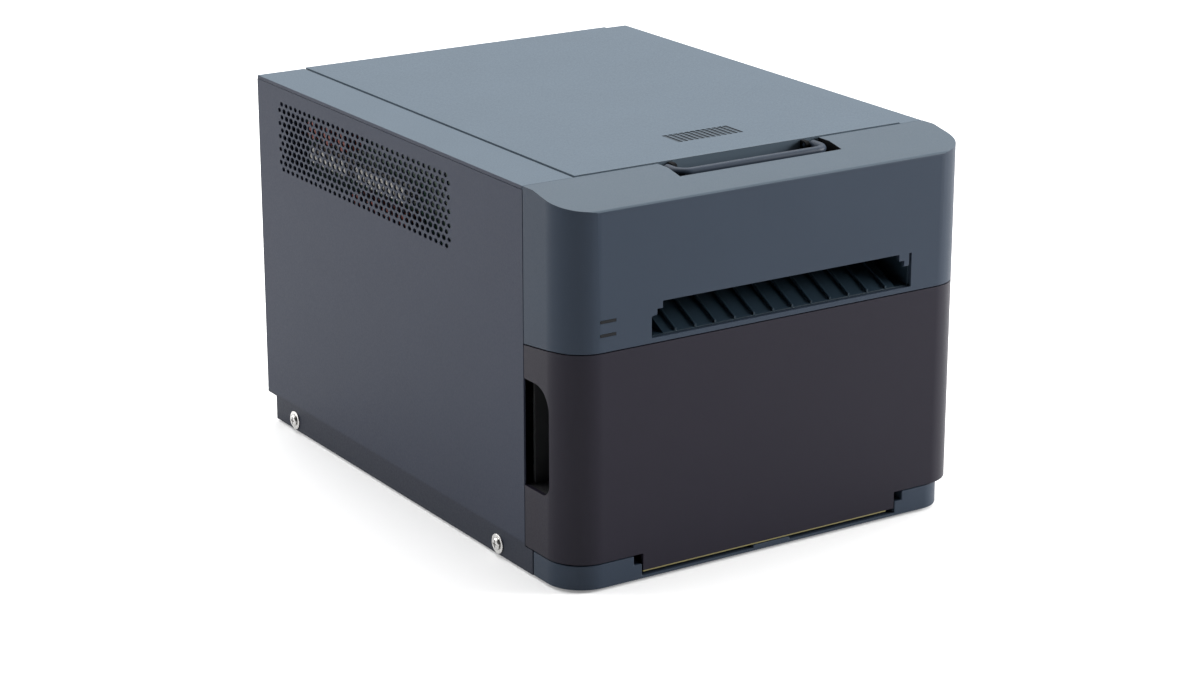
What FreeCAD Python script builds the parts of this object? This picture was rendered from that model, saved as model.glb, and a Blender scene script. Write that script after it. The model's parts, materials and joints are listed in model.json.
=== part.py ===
"""Compact dye-sublimation photo printer, built piece by piece.

Frame: X to the right seen from the front, the front faces -Y, Z is up, millimetres.
The origin is on the table, under the middle of the casing.
Every size that can be set by itself is one cell of the sheet "sizes". A place or length
is written as an expression of those cells, so a piece follows what it sits on.
"""
import FreeCAD, Part
import Sketcher
import math
import os
import re
from fcgear import fcgear, involute

VEC = FreeCAD.Vector

SIZES = {
    # casing
    "body_width": 280.0,          # over the two side covers
    "body_depth": 370.0,          # front face to rear panel
    "body_height": 230.0,         # table to the top of the lid
    "foot_height": 1.5,           # rubber pads under the floor
    "foot_radius": 9.0,
    "foot_inset": 26.0,           # pad centre in from the sides
    "front_depth": 46.5,          # front face to the seam with the side covers
    "corner_radius": 23.0,        # upright front corners
    "upper_height": 88.5,         # top of the casing to the joint between cover and drawer
    "seam_drop": 3.4,             # how far that joint falls towards the rear
    "seam_flat": 17.0,            # level stretch of the joint, from the front face
    "seam_gap": 0.6,              # shadow gap between outer pieces
    "skirt_height": 17.0,         # lower edge of the drawer front
    "case_wall": 2.5,             # moulded covers
    "cover_sheet": 1.2,           # steel side covers
    "base_sheet": 1.5,
    "frame_sheet": 1.6,
    "rear_sheet": 1.5,
    "tab_reach": 8.5,             # side covers reach under the drawer by this much
    "rear_notch": 11.5,           # cut-away under the rear edge
    "crease_back": 36.0,          # front face to where the top starts to slope
    "top_slope_drop": 7.0,        # fall of the top from the crease to the front face
    "edge_round": 2.2,            # rounding of the moulded outer edges
    # base front
    "base_inset": 9.0,            # right end of the base stands in by this much
    "base_corner": 18.0,
    "lip_height": 3.6,            # low lip between the two base blocks
    "lip_rise": 1.7,
    "lip_rise_wide": 26.0,
    "tongue_in": 50.0,            # casing's side to the tongue under the drawer front
    "tongue_bottom": 6.6,
    "notch_step": 6.0,            # extra width of the upper half of the opening
    "notch_height": 10.8,
    "strip_thick": 0.7,           # coloured edge strip below the tongue
    # cover screws and washers
    "screw_height": 8.0,
    "screw_front": 77.0,          # front face to the front screws
    "screw_rear": 38.0,           # rear face to the rear screws
    "screw_shank": 1.5,
    "screw_head": 3.7,
    "screw_head_thick": 1.5,
    "screw_length": 6.0,
    "washer_radius": 5.1,
    "washer_thick": 0.8,
    "thread_gap": 0.05,
    "hole_gap": 0.5,
    # vent
    "vent_pitch": 6.23,           # along a row
    "vent_row_pitch": 4.23,
    "vent_hole": 1.8,             # radius of the full holes
    "fan_hole": 1.9,              # holes in the rear panel over the fan
    "vent_rear": 33.0,            # rear face to the first hole of the top row
    "vent_top": 13.2,             # below the lid's top
    # top
    "left_strip": 34.5,
    "right_strip": 17.0,
    "strip_sheet": 2.4,
    "lid_rise": 0.6,              # lid stands above the strips
    "lid_gap": 0.8,
    "lid_wall": 2.6,
    "rim_wall": 1.5,
    "rim_depth": 8.2,             # lid's edge below its top face
    "lip_drop": 12.5,             # rear edge of the lid below its top face
    "ledge_wall": 1.5,
    "ledge_reach": 6.5,
    "ledge_gap": 0.3,
    "ledge_rear": 20.0,           # ledges stop this far from the rear
    "ridge_left": 14.0,           # grip patch: left end, left of the middle
    "ridge_pitch": 3.9,
    "ridge_width": 2.9,
    "ridge_long": 18.0,
    "ridge_back": 31.5,           # lid's front edge to the patch
    "ridge_deep": 0.5,
    # lid hinge
    "hinge_back": 6.0,            # axis in from the rear
    "hinge_down": 7.0,            # axis below the lid's top face
    "hinge_in": 60.0,             # casing's side to the middle of a hinge
    "hinge_pin": 2.0,
    "hinge_barrel": 4.0,
    "hinge_ear": 3.4,
    "barrel_wide": 13.0,
    "ear_thick": 3.0,
    "run_gap": 0.05,              # radial clearance of running shafts
    "side_gap": 0.5,              # end clearance beside turning parts
    # handle
    "well_left": 50.5,
    "well_right": 62.5,
    "well_reach": 22.5,           # well in front of the lid's seam
    "well_depth": 17.0,
    "well_wall": 1.6,
    "handle_bar": 2.6,            # bar radius
    "handle_reach": 17.0,         # bar in front of its pivot
    "handle_left": 46.5,
    "handle_right": 56.0,
    "handle_pivot": 3.6,          # pivot in front of the lid's edge
    "handle_pin": 1.2,
    "lug_thick": 3.0,
    "lug_high": 4.8,
    # exit
    "slot_in_left": 55.0,         # casing's left side to the exit slot
    "slot_in_right": 42.5,
    "slot_rise": 2.9,             # joint to the slot's lower edge
    "slot_tall": 20.6,
    "step_wide": 3.7,             # two steps at each upper end of the slot
    "step_tall": 4.1,
    "slit_wide": 1.7,             # upright slit beside the right-hand steps
    "ramp_in_left": 9.5,          # slot's ends to the ramp
    "ramp_in_right": 9.5,
    "ramp_run": 25.0,
    "ramp_wall": 2.2,
    "rib_pitch": 13.46,
    "rib_wide": 1.3,
    "rib_high": 1.8,
    "cheek_wall": 2.0,
    "lamp_in": 21.0,              # casing's left side to the status lamps
    "lamp_wide": 10.5,
    "lamp_rise": 9.8,             # joint to the lower lamp
    "lamp_pitch": 7.9,
    "lamp_thick": 1.7,
    "lamp_gap": 0.1,
    # inner frame
    "side_bay": 38.0,             # side cover to the inner frame
    "frame_front": 59.0,          # front face to the frames
    "frame_rear": 20.0,
    "frame_top_gap": 10.0,        # frames end below the lid's top
    "stay_sheet": 1.6,
    "stay_rise": 2.0,             # joint to the front stay
    "stay_top_gap": 16.0,
    "lug_reach": 13.0,
    "rear_stay_wide": 18.0,
    "rear_stay_thick": 3.0,
    # paper path and rollers
    "path_rise": 18.5,            # joint to the plane of the paper
    "platen_back": 145.0,
    "platen_radius": 10.0,
    "capstan_back": 105.0,
    "capstan_radius": 6.0,
    "paper_gap": 0.3,
    "roller_shaft": 4.0,
    "pinch_shaft": 3.0,
    "bush_wall": 2.5,
    "roll_room": 16.0,            # end of the paper roll to the tray's side
    # gears
    "gear_module": 1.0,
    "gear_width": 6.0,
    "gear_backlash": 0.15,
    "gear_side_gap": 2.0,
    "capstan_teeth": 54,
    "idler_teeth": 36,
    "pinion_teeth": 12,
    "idler_pin": 2.5,
    "motor_back": 157.0,
    "motor_drop": 46.0,           # below the paper's plane
    "motor_side": 35.0,
    "motor_shaft": 2.5,
    "motor_long": 22.0,
    "motor_plate": 2.0,
    # head
    "head_long": 24.0,
    "head_board": 3.2,
    "head_mount": 4.5,
    "sink_base": 5.0,
    "sink_height": 33.0,
    "fin_thick": 2.0,
    "fin_pitch": 8.0,
    "arm_sheet": 2.0,
    "arm_room": 12.4,             # head's arms to the frames
    "arm_high": 12.0,
    "pivot_back": 233.0,
    "pivot_rise": 48.0,
    "pivot_shaft": 4.0,
    # ribbon
    "supply_back": 195.0,
    "supply_rise": 30.0,          # above the paper's plane
    "supply_radius": 24.0,
    "takeup_back": 101.0,
    "takeup_rise": 38.0,
    "takeup_radius": 18.0,
    "ribbon_core": 12.7,
    "ribbon_flange": 1.5,
    "spool_shaft": 5.0,
    # cutter
    "rail_back": 63.0,
    "rail_thick": 6.0,
    "rail_rise": 16.0,
    "rail_high": 8.0,
    "carriage_wide": 22.0,
    "carriage_wall": 3.0,
    "carriage_gap": 0.3,
    "wheel_radius": 9.0,
    "wheel_thick": 1.0,
    "wheel_overlap": 1.5,
    "blade_thick": 4.0,
    "blade_high": 8.0,
    # drawer and roll
    "tray_room": 8.4,             # tray's side to the frame
    "tray_wall": 2.0,
    "tray_low": 22.0,
    "tray_over": 12.0,            # the tray's sides rise over the roll's axis
    "tray_rear_high": 37.2,
    "tray_rear_gap": 12.0,        # tray to the power supply
    "tray_side_front": 51.0,
    "runner_low": 40.0,
    "runner_high": 8.0,
    "runner_thick": 5.5,
    "rail_wall": 1.5,
    "rail_gap": 0.5,
    "roll_back": 97.0,
    "roll_floor_room": 26.5,      # table to the lowest point of the roll's flanges
    "roll_head_room": 20.0,       # flanges to the joint above
    "core_radius": 14.0,
    "flange_rim": 1.5,            # flange stands over the full roll
    "flange_thick": 3.0,
    "stub_radius": 6.0,
    "stub_reach": 2.0,
    "recess_reach": 26.0,
    "recess_deep": 16.0,
    "recess_wall": 2.0,
    "recess_lap": 6.0,            # the cup's rear wall starts this far inside
    "recess_gap": 0.3,
    "recess_low": 54.0,
    "recess_drop": 23.5,          # joint to the top of the finger recess
    "recess_top_round": 14.0,
    "recess_low_round": 7.0,
    # electrics
    "board_stand": 20.4,
    "board_thick": 1.6,
    "board_low": 60.0,
    "board_top_gap": 16.0,
    "board_front": 145.0,
    "board_rear": 35.0,
    "standoff_radius": 3.0,
    "standoff_inset": 8.0,
    "supply_wide": 135.0,
    "supply_long": 100.0,
    "supply_high": 42.0,
    "supply_room": 5.4,
    "supply_rear_gap": 23.0,
    "fan_side": 60.0,
    "fan_thick": 15.0,
    "fan_in": 80.0,               # casing's right side to the fan's axis
    "fan_z": 110.0,
    "fan_bore": 27.5,
    "fan_hub": 12.0,
    "fan_tip_gap": 1.0,
    "fan_pin": 1.5,
    "blade_count": 7,
    "inlet_in": 50.0,             # casing's left side to the mains inlet
    "inlet_z": 75.0,
    "inlet_wide": 27.0,
    "inlet_high": 20.0,
    "inlet_deep": 18.0,
    "switch_in": 85.0,
    "switch_wide": 13.0,
    "switch_high": 19.0,
    "usb_in": 120.0,
    "usb_side": 12.0,
    "pin_pitch": 7.0,
    "pin_wide": 2.0,
    "pin_high": 4.0,
    "socket_wall": 2.0,
    # parts of the main board
    "plug_long": 9.5,
    "plug_pitch": 12.5,
    "plug_high": 10.0,
    "plug_tall": 9.0,
    "plug_drop": 36.0,
    "plug_back_a": 56.0,
    "plug_back_b": 117.0,
    "coil_radius": 6.5,
    "coil_tall": 11.0,
    "coil_pitch": 19.0,
    "coil_drop_a": 24.0,
    "coil_drop_b": 58.0,
    "coil_back_a": 64.0,
    "coil_back_b": 120.0,
    "usb_deep": 16.0,
}

doc = FreeCAD.newDocument("photo_printer")
sheet = doc.addObject("Spreadsheet::Sheet", "sizes")
for row, (alias, number) in enumerate(SIZES.items(), start=1):
    sheet.set(f"A{row}", alias)
    sheet.set(f"B{row}", str(number))
    sheet.setAlias(f"B{row}", alias)
doc.recompute()

# places and lengths that follow from the sizes above
DERIVED = {
    "seam_height": "body_height - upper_height",
    "path_height": "seam_height + path_rise",
    "stay_low": "seam_height + stay_rise",
    "slot_left": "body_width / 2 - slot_in_left",
    "slot_right": "body_width / 2 - slot_in_right",
    "slot_low": "seam_height + slot_rise",
    "slot_high": "slot_low + slot_tall",
    "step_high": "slot_high - step_tall",
    "step_low": "step_high - step_tall",
    "slit_edge": "slot_right - slit_wide",
    "lamp_left": "body_width / 2 - lamp_in",
    "lamp_right": "lamp_left - lamp_wide",
    "lamp_low": "seam_height + lamp_rise",
    "lamp_high": "lamp_low + lamp_pitch",
    "lip_rise_half": "lip_rise_wide / 2",
    "tongue_half": "body_width / 2 - tongue_in",
    "hinge_span": "body_width / 2 - hinge_in",
    "barrel_half": "barrel_wide / 2",
    "lug_half": "lug_high / 2",
    "frame_in": "body_width / 2 - side_bay - frame_sheet",
    "motor_height": "path_height - motor_drop",
    "pivot_height": "path_height + pivot_rise",
    "supply_height": "path_height + supply_rise",
    "takeup_height": "path_height + takeup_rise",
    "rail_low": "path_height + rail_rise",
    "arm_side": "frame_in - arm_room",
    "tray_half": "frame_in - tray_room",
    "paper_half": "tray_half - roll_room",
    "stub_end": "tray_half + stub_reach",
    "flange_radius": "(seam_height - roll_head_room - roll_floor_room) / 2",
    "roll_height": "roll_floor_room + flange_radius",
    "roll_radius": "flange_radius - flange_rim",
    "tray_top": "roll_height + tray_over",
    "recess_high": "seam_height - recess_drop",
    "board_high": "body_height - board_top_gap",
    "fan_x": "body_width / 2 - fan_in",
    "inlet_x": "inlet_in - body_width / 2",
    "switch_x": "switch_in - body_width / 2",
    "usb_x": "usb_in - body_width / 2",
}


def words(names):
    return re.compile(r"\b(" + "|".join(sorted(names, key=len, reverse=True)) + r")\b")


ALIASES = words(SIZES)
DERIVED_WORDS = words(DERIVED)
NODES = []

# ---------------------------------------------------------------- places used again and again
HALF = "(body_width / 2)"
FRONT = "(-body_depth / 2)"
REAR = "(body_depth / 2)"
TOP = "body_height"
SEAM = f"({FRONT} + front_depth)"
TAB_FRONT = f"({SEAM} - tab_reach)"
FLOOR_TOP = "(foot_height + base_sheet)"
COVER_IN = f"({HALF} - cover_sheet)"
FRAME_OUT = f"({HALF} - side_bay)"
FRAME_IN = f"({FRAME_OUT} - frame_sheet)"
STRIP_TOP = f"({TOP} - lid_rise)"
STRIP_LOW = f"({STRIP_TOP} - strip_sheet)"
LID_LEFT = f"(left_strip - {HALF})"
LID_RIGHT = f"({HALF} - right_strip)"
LID_FRONT = f"({SEAM} + lid_gap)"
LEDGE_TOP = f"({TOP} - rim_depth - ledge_gap)"
LEDGE_LOW = f"({LEDGE_TOP} - ledge_wall)"
REAR_IN = f"({REAR} - rear_sheet)"
NOTCH_Y = f"({REAR} - rear_notch)"
FRAME_TOP = f"({TOP} - frame_top_gap)"


# ---------------------------------------------------------------- helpers
def bind(target, name, text):
    """Tie one property of target to the sheet."""
    while DERIVED_WORDS.search(text):
        text = DERIVED_WORDS.sub(lambda found: f"({DERIVED[found.group(1)]})", text)
    target.setExpression(name, ALIASES.sub(r"sizes.\1", text))


def place(target, x, y, z):
    """Tie the place of target to the sheet."""
    for axis, text in zip("xyz", (x, y, z)):
        bind(target, f"Placement.Base.{axis}", text)


def block(x, y, z):
    """A box between three pairs of limits."""
    made = doc.addObject("Part::Box", "block")
    for name, (low, high) in zip(("Length", "Width", "Height"), (x, y, z)):
        bind(made, name, f"({high}) - ({low})")
    place(made, x[0], y[0], z[0])
    return made


TURNS = {
    "X": FreeCAD.Rotation(VEC(1, 1, 1), 120),
    "Y": FreeCAD.Rotation(VEC(1, 1, 1), -120),
    "Z": FreeCAD.Rotation(),
}


def rod(axis, span, at, radius):
    """A cylinder along axis, over span, with its other two coordinates at."""
    made = doc.addObject("Part::Cylinder", "rod")
    made.Placement = FreeCAD.Placement(VEC(), TURNS[axis])
    bind(made, "Radius", radius)
    bind(made, "Height", f"({span[1]}) - ({span[0]})")
    low = span[0]
    x, y, z = {"X": (low, *at), "Y": (at[0], low, at[1]), "Z": (*at, low)}[axis]
    place(made, x, y, z)
    return made


def fused(*pieces):
    if len(pieces) == 1:
        return pieces[0]
    made = doc.addObject("Part::MultiFuse", "joined")
    made.Shapes = list(pieces)
    made.Refine = True
    return made


def carved(base, *tools):
    made = doc.addObject("Part::Cut", "carved")
    made.Base = base
    made.Tool = fused(*tools)
    made.Refine = True
    return made


def shared(first, second):
    made = doc.addObject("Part::Common", "shared")
    made.Base = first
    made.Tool = second
    made.Refine = True
    return made


def group(*pieces):
    """Several separate solids in one node."""
    made = doc.addObject("Part::Compound", "group")
    made.Links = list(pieces)
    return made


def tube(axis, span, at, outer, inner):
    return carved(rod(axis, span, at, outer), rod(axis, span, at, inner))


def node(name, made):
    """Give a finished piece its name, which is also its file's name."""
    made.Label = name
    NODES.append(made)
    return made


def both(make):
    """The same piece on the right (+1) and on the left (-1)."""
    return [make(1), make(-1)]


def side_span(side, inner, outer):
    """Limits along X of a piece between inner and outer, on one side of the middle."""
    if side > 0:
        return (inner, outer)
    return (f"-({outer})", f"-({inner})")


PLANES = {"X": "YZ_Plane", "Y": "XZ_Plane", "Z": "XY_Plane"}


def value(text):
    """The number that an expression of the sheet has now."""
    probe = doc.addObject("App::FeaturePython", "probe")
    probe.addProperty("App::PropertyFloat", "number")
    bind(probe, "number", text)
    probe.recompute()
    number = probe.number
    doc.removeObject(probe.Name)
    return number


def padded(axis, span, outline, rounds=None):
    """A PartDesign pad of a closed outline, its corners in rounds rounded.

    outline is a list of (u, v) expressions: (Y, Z) for axis X, (X, Z) for axis Y and
    (X, Y) for axis Z. rounds maps a corner's number to the radius of its fillet.
    """
    body = doc.addObject("PartDesign::Body", "body")
    plane = [f for f in body.Origin.OriginFeatures if f.Role == PLANES[axis]][0]
    sketch = body.newObject("Sketcher::SketchObject", "outline")
    sketch.AttachmentSupport = [(plane, "")]
    sketch.MapMode = "FlatFace"
    rough = [(value(u), value(v)) for u, v in outline]
    count = len(rough)
    for i in range(count):
        start, end = rough[i], rough[(i + 1) % count]
        sketch.addGeometry(Part.LineSegment(VEC(*start, 0), VEC(*end, 0)))
    for i in range(count):
        sketch.addConstraint(Sketcher.Constraint("Coincident", i, 2, (i + 1) % count, 1))
    for i, (u, v) in enumerate(outline):
        for kind, text, number in (("DistanceX", u, rough[i][0]), ("DistanceY", v, rough[i][1])):
            row = sketch.addConstraint(Sketcher.Constraint(kind, -1, 1, i, 1, number))
            bind(sketch, f"Constraints[{row}]", text)
    pad = body.newObject("PartDesign::Pad", "pad")
    pad.Profile = sketch
    bind(pad, "Length", f"({span[1]}) - ({span[0]})")
    if axis == "Y":                      # the XZ plane looks along -Y
        pad.Reversed = True
    bind(body, f"Placement.Base.{axis.lower()}", span[0])
    if rounds:
        doc.recompute()
        for corner, radius in rounds.items():
            round_edge(body, axis, rough[corner], radius)
    return body


def round_edge(body, axis, corner, radius):
    """Fillet the edge of a pad that runs along axis through one corner of its outline."""
    last = body.Tip
    keep = {"X": (1, 2), "Y": (0, 2), "Z": (0, 1)}[axis]
    for number, edge in enumerate(last.Shape.Edges, start=1):
        ends = [vertex.Point for vertex in edge.Vertexes]
        if all(abs(p[keep[k]] - corner[k]) < 0.001 for p in ends for k in (0, 1)):
            fillet = body.newObject("PartDesign::Fillet", "rounded")
            fillet.Base = (last, [f"Edge{number}"])
            bind(fillet, "Radius", radius)
            doc.recompute()
            return
    raise RuntimeError("no edge to round at " + str(corner))


def rounded_block(x, y, z, left_radius, right_radius):
    """A block whose two upright front corners are round."""
    left_x = f"({x[0]}) + ({left_radius})"
    right_x = f"({x[1]}) - ({right_radius})"
    left_y = f"({y[0]}) + ({left_radius})"
    right_y = f"({y[0]}) + ({right_radius})"
    return fused(
        block((left_x, right_x), y, z),
        block((x[0], left_x), (left_y, y[1]), z),
        block((right_x, x[1]), (right_y, y[1]), z),
        rod("Z", z, (left_x, left_y), left_radius),
        rod("Z", z, (right_x, right_y), right_radius))


def gear(teeth, bore):
    """An involute spur gear along X with its first tooth towards +Y."""
    wires = fcgear.FCWireBuilder()
    involute.CreateExternalGear(wires, SIZES["gear_module"], teeth, 20, True)
    outline = Part.Wire([edge.toShape() for edge in wires.wire])
    blank = Part.Face(outline).extrude(VEC(0, 0, SIZES["gear_width"]))
    made = doc.addObject("Part::Feature", "gear")
    made.Shape = blank.cut(Part.makeCylinder(bore, SIZES["gear_width"]))
    return made


def set_gear(made, turn, x, y, z):
    """Place a gear, turned about its own axis by turn radians."""
    spin = FreeCAD.Rotation(VEC(0, 0, 1), math.degrees(turn))
    made.Placement = FreeCAD.Placement(VEC(), TURNS["X"].multiply(spin))
    place(made, x, y, z)


# ---------------------------------------------------------------- base
def screw_places():
    """Y of the front and rear cover screws."""
    return (f"({FRONT} + screw_front)", f"({REAR} - screw_rear)")


def make_base():
    flange_high = "(skirt_height - seam_gap)"
    pieces = [block((f"-{COVER_IN}", COVER_IN), (TAB_FRONT, NOTCH_Y), ("foot_height", FLOOR_TOP))]
    for side in (1, -1):
        pieces.append(block(side_span(side, f"{COVER_IN} - base_sheet", COVER_IN),
                            (f"({SEAM} + seam_gap)", NOTCH_Y), ("foot_height", flange_high)))
    pieces.append(block((f"-{COVER_IN}", COVER_IN), (f"{NOTCH_Y} - base_sheet", NOTCH_Y),
                        ("foot_height", "skirt_height")))
    pieces.append(block((f"-{COVER_IN}", COVER_IN), (f"{NOTCH_Y} - base_sheet", REAR_IN),
                        ("skirt_height", "skirt_height + base_sheet")))
    holes = [rod("X", (f"-{HALF}", HALF), (y, "screw_height"), "screw_shank + thread_gap")
             for y in screw_places()]
    node("base_plate", carved(fused(*pieces), *holes))

    feet = []
    for side in ("1", "-1"):
        for y in (f"({SEAM} + foot_inset)", f"({NOTCH_Y} - foot_inset)"):
            feet.append(rod("Z", ("0", "foot_height"),
                            (f"{side} * ({HALF} - foot_inset)", y), "foot_radius"))
    node("rubber_feet", group(*feet))


def make_front_base():
    top = "(skirt_height - seam_gap)"
    body = shared(
        rounded_block((f"-{HALF}", f"({HALF} - base_inset)"), (FRONT, SEAM),
                      ("foot_height", top), "corner_radius", "base_corner"),
        block((f"-{HALF}", HALF), (FRONT, TAB_FRONT), ("foot_height", top)))
    opening = (f"{FRONT} - 1", f"{TAB_FRONT} + 1")
    low = block(("-tongue_half - seam_gap", "tongue_half + seam_gap"), opening,
                ("lip_height", f"{top} + 1"))
    high = block(("-tongue_half - notch_step", "tongue_half + notch_step"), opening,
                 ("notch_height", f"{top} + 1"))
    rise = block(("-lip_rise_half", "lip_rise_half"), (FRONT, f"{FRONT} + case_wall"),
                 ("foot_height", "lip_height + lip_rise"))
    node("front_base", fused(carved(body, low, high), rise))


# ---------------------------------------------------------------- side covers
def cover_outline():
    """Corners (Y, Z) of a side cover."""
    front = value(f"{SEAM} + seam_gap")
    tab = value(f"{TAB_FRONT} + seam_gap")
    low = value("foot_height")
    skirt = value("skirt_height - seam_gap")
    notch = value(NOTCH_Y)
    rear = value(REAR)
    return [(tab, low), (notch, low), (notch, value("skirt_height")),
            (rear, value("skirt_height")), (rear, value(STRIP_LOW)),
            (front, value(STRIP_LOW)), (front, skirt), (tab, skirt)]


def vent_holes():
    """Centre and radius of each vent hole: smaller towards the edge of the field."""
    rows, per_row = 11, 34
    pitch, row_pitch = SIZES["vent_pitch"], SIZES["vent_row_pitch"]
    first_y = value(f"{REAR} - vent_rear")
    first_z = value(f"{TOP} - vent_top")
    for row in range(rows):
        shift = (row % 2) * 0.5
        count = per_row + row % 2
        for column in range(count):
            ring = min(row, rows - 1 - row, column, count - 1 - column)
            radius = SIZES["vent_hole"] * (0.78, 0.9, 1.0)[min(ring, 2)]
            yield first_y + (shift - column) * pitch, first_z - row * row_pitch, radius


def circle_x(y, z, radius):
    return Part.Wire([Part.Circle(VEC(0, y, z), VEC(1, 0, 0), radius).toShape()])


def make_side_covers():
    for name, side in (("left_side_cover", -1), ("right_side_cover", 1)):
        corners = [VEC(0, y, z) for y, z in cover_outline()]
        wires = [Part.makePolygon(corners + corners[:1])]
        for y in screw_places():
            wires.append(circle_x(value(y), value("screw_height"), value("screw_shank + hole_gap")))
        if side < 0:
            wires += [circle_x(*hole) for hole in vent_holes()]
        face = Part.makeFace(wires, "Part::FaceMakerBullseye")
        cover = doc.addObject("Part::Feature", "cover")
        cover.Shape = face.extrude(VEC(SIZES["cover_sheet"], 0, 0))
        bind(cover, "Placement.Base.x", COVER_IN if side > 0 else f"-{HALF}")
        node(name, cover)


def make_cover_screws():
    screws, washers = [], []
    for side in (1, -1):
        for y in screw_places():
            at = (y, "screw_height")
            seat = f"{HALF} + washer_thick"
            shank = side_span(side, f"{seat} - screw_length", seat)
            head = side_span(side, seat, f"{seat} + screw_head_thick")
            rim = side_span(side, seat, f"{seat} + screw_head_thick * 0.55")
            slot = side_span(side, f"{seat} + screw_head_thick * 0.5", f"{seat} + screw_head_thick")
            cross = [block(slot, (f"{y} - 2.2", f"{y} + 2.2"),
                           ("screw_height - 0.4", "screw_height + 0.4")),
                     block(slot, (f"{y} - 0.4", f"{y} + 0.4"),
                           ("screw_height - 2.2", "screw_height + 2.2"))]
            screws.append(carved(fused(rod("X", shank, at, "screw_shank"),
                                       rod("X", rim, at, "screw_head"),
                                       rod("X", head, at, "screw_head * 0.82")), *cross))
            washers.append(tube("X", side_span(side, HALF, seat), at,
                                "washer_radius", "screw_shank + hole_gap"))
    node("cover_screws", group(*screws))
    node("screw_washers", group(*washers))


# ---------------------------------------------------------------- rear panel
FAN_AT = ("fan_x", "fan_z")


def make_rear_panel():
    low = "(skirt_height + base_sheet)"
    top = f"({TOP} - hinge_down - lip_drop * 0.6)"
    panel = fused(
        block((f"-{COVER_IN}", COVER_IN), (REAR_IN, REAR), (low, top)),
        block((f"-{COVER_IN}", f"{LID_LEFT} - lid_gap"), (REAR_IN, REAR), (low, STRIP_LOW)),
        block((f"{LID_RIGHT} + lid_gap", COVER_IN), (REAR_IN, REAR), (low, STRIP_LOW)))
    through = (f"{REAR_IN} - 1", f"{REAR} + 1")
    tools = []
    rings = 4
    step = SIZES["fan_bore"] / (rings + 0.5)
    for ring in range(rings + 1):
        for spoke in range(max(1, 6 * ring)):
            turn = 2 * math.pi * spoke / max(1, 6 * ring)
            x = f"fan_x + ({ring * step * math.cos(turn):.3f})"
            z = f"fan_z + ({ring * step * math.sin(turn):.3f})"
            tools.append(rod("Y", through, (x, z), "fan_hole"))
    for x, wide, high in (("inlet_x", "inlet_wide", "inlet_high"),
                          ("switch_x", "switch_wide", "switch_high"),
                          ("usb_x", "usb_side", "usb_side")):
        tools.append(block((f"{x} - {wide} / 2", f"{x} + {wide} / 2"), through,
                           (f"inlet_z - {high} / 2", f"inlet_z + {high} / 2")))
    node("rear_panel", carved(panel, *tools))


# ---------------------------------------------------------------- top frame, front cover, exit
def make_top_frame():
    along = (f"({SEAM} + seam_gap)", REAR)
    ledge_along = (f"({SEAM} + seam_gap)", f"({REAR} - ledge_rear)")
    pieces = []
    for strip, edge, inward in (((f"-{HALF}", f"({LID_LEFT} - lid_gap)"), f"({LID_LEFT} - lid_gap)", 1),
                                ((f"({LID_RIGHT} + lid_gap)", HALF), f"({LID_RIGHT} + lid_gap)", -1)):
        pieces.append(block(strip, along, (STRIP_LOW, STRIP_TOP)))
        wall = (f"{edge} - ledge_wall", edge) if inward > 0 else (edge, f"{edge} + ledge_wall")
        pieces.append(block(wall, ledge_along, (LEDGE_LOW, STRIP_LOW)))
        reach = (edge, f"{edge} + ledge_reach") if inward > 0 else (f"{edge} - ledge_reach", edge)
        pieces.append(block(reach, ledge_along, (LEDGE_LOW, LEDGE_TOP)))
    cross_x = (f"({LID_LEFT} - lid_gap)", f"({LID_RIGHT} + lid_gap)")
    pieces.append(block(cross_x, (f"({SEAM} + seam_gap)", f"({SEAM} + seam_gap + ledge_reach)"),
                        (LEDGE_LOW, LEDGE_TOP)))
    node("top_frame", fused(*pieces))


def front_profile(inset, low, drop):
    """Side view (Y, Z) of the upper front cover, drawn inside its surface by inset."""
    return [(f"{FRONT} + {inset}", low),
            (f"{FRONT} + seam_flat", low),
            (SEAM, f"{low} - {drop}"),
            (SEAM, f"{STRIP_TOP} - {inset}"),
            (f"{FRONT} + crease_back", f"{STRIP_TOP} - {inset}"),
            (f"{FRONT} + {inset}", f"{STRIP_TOP} - top_slope_drop - {inset}")]


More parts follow.
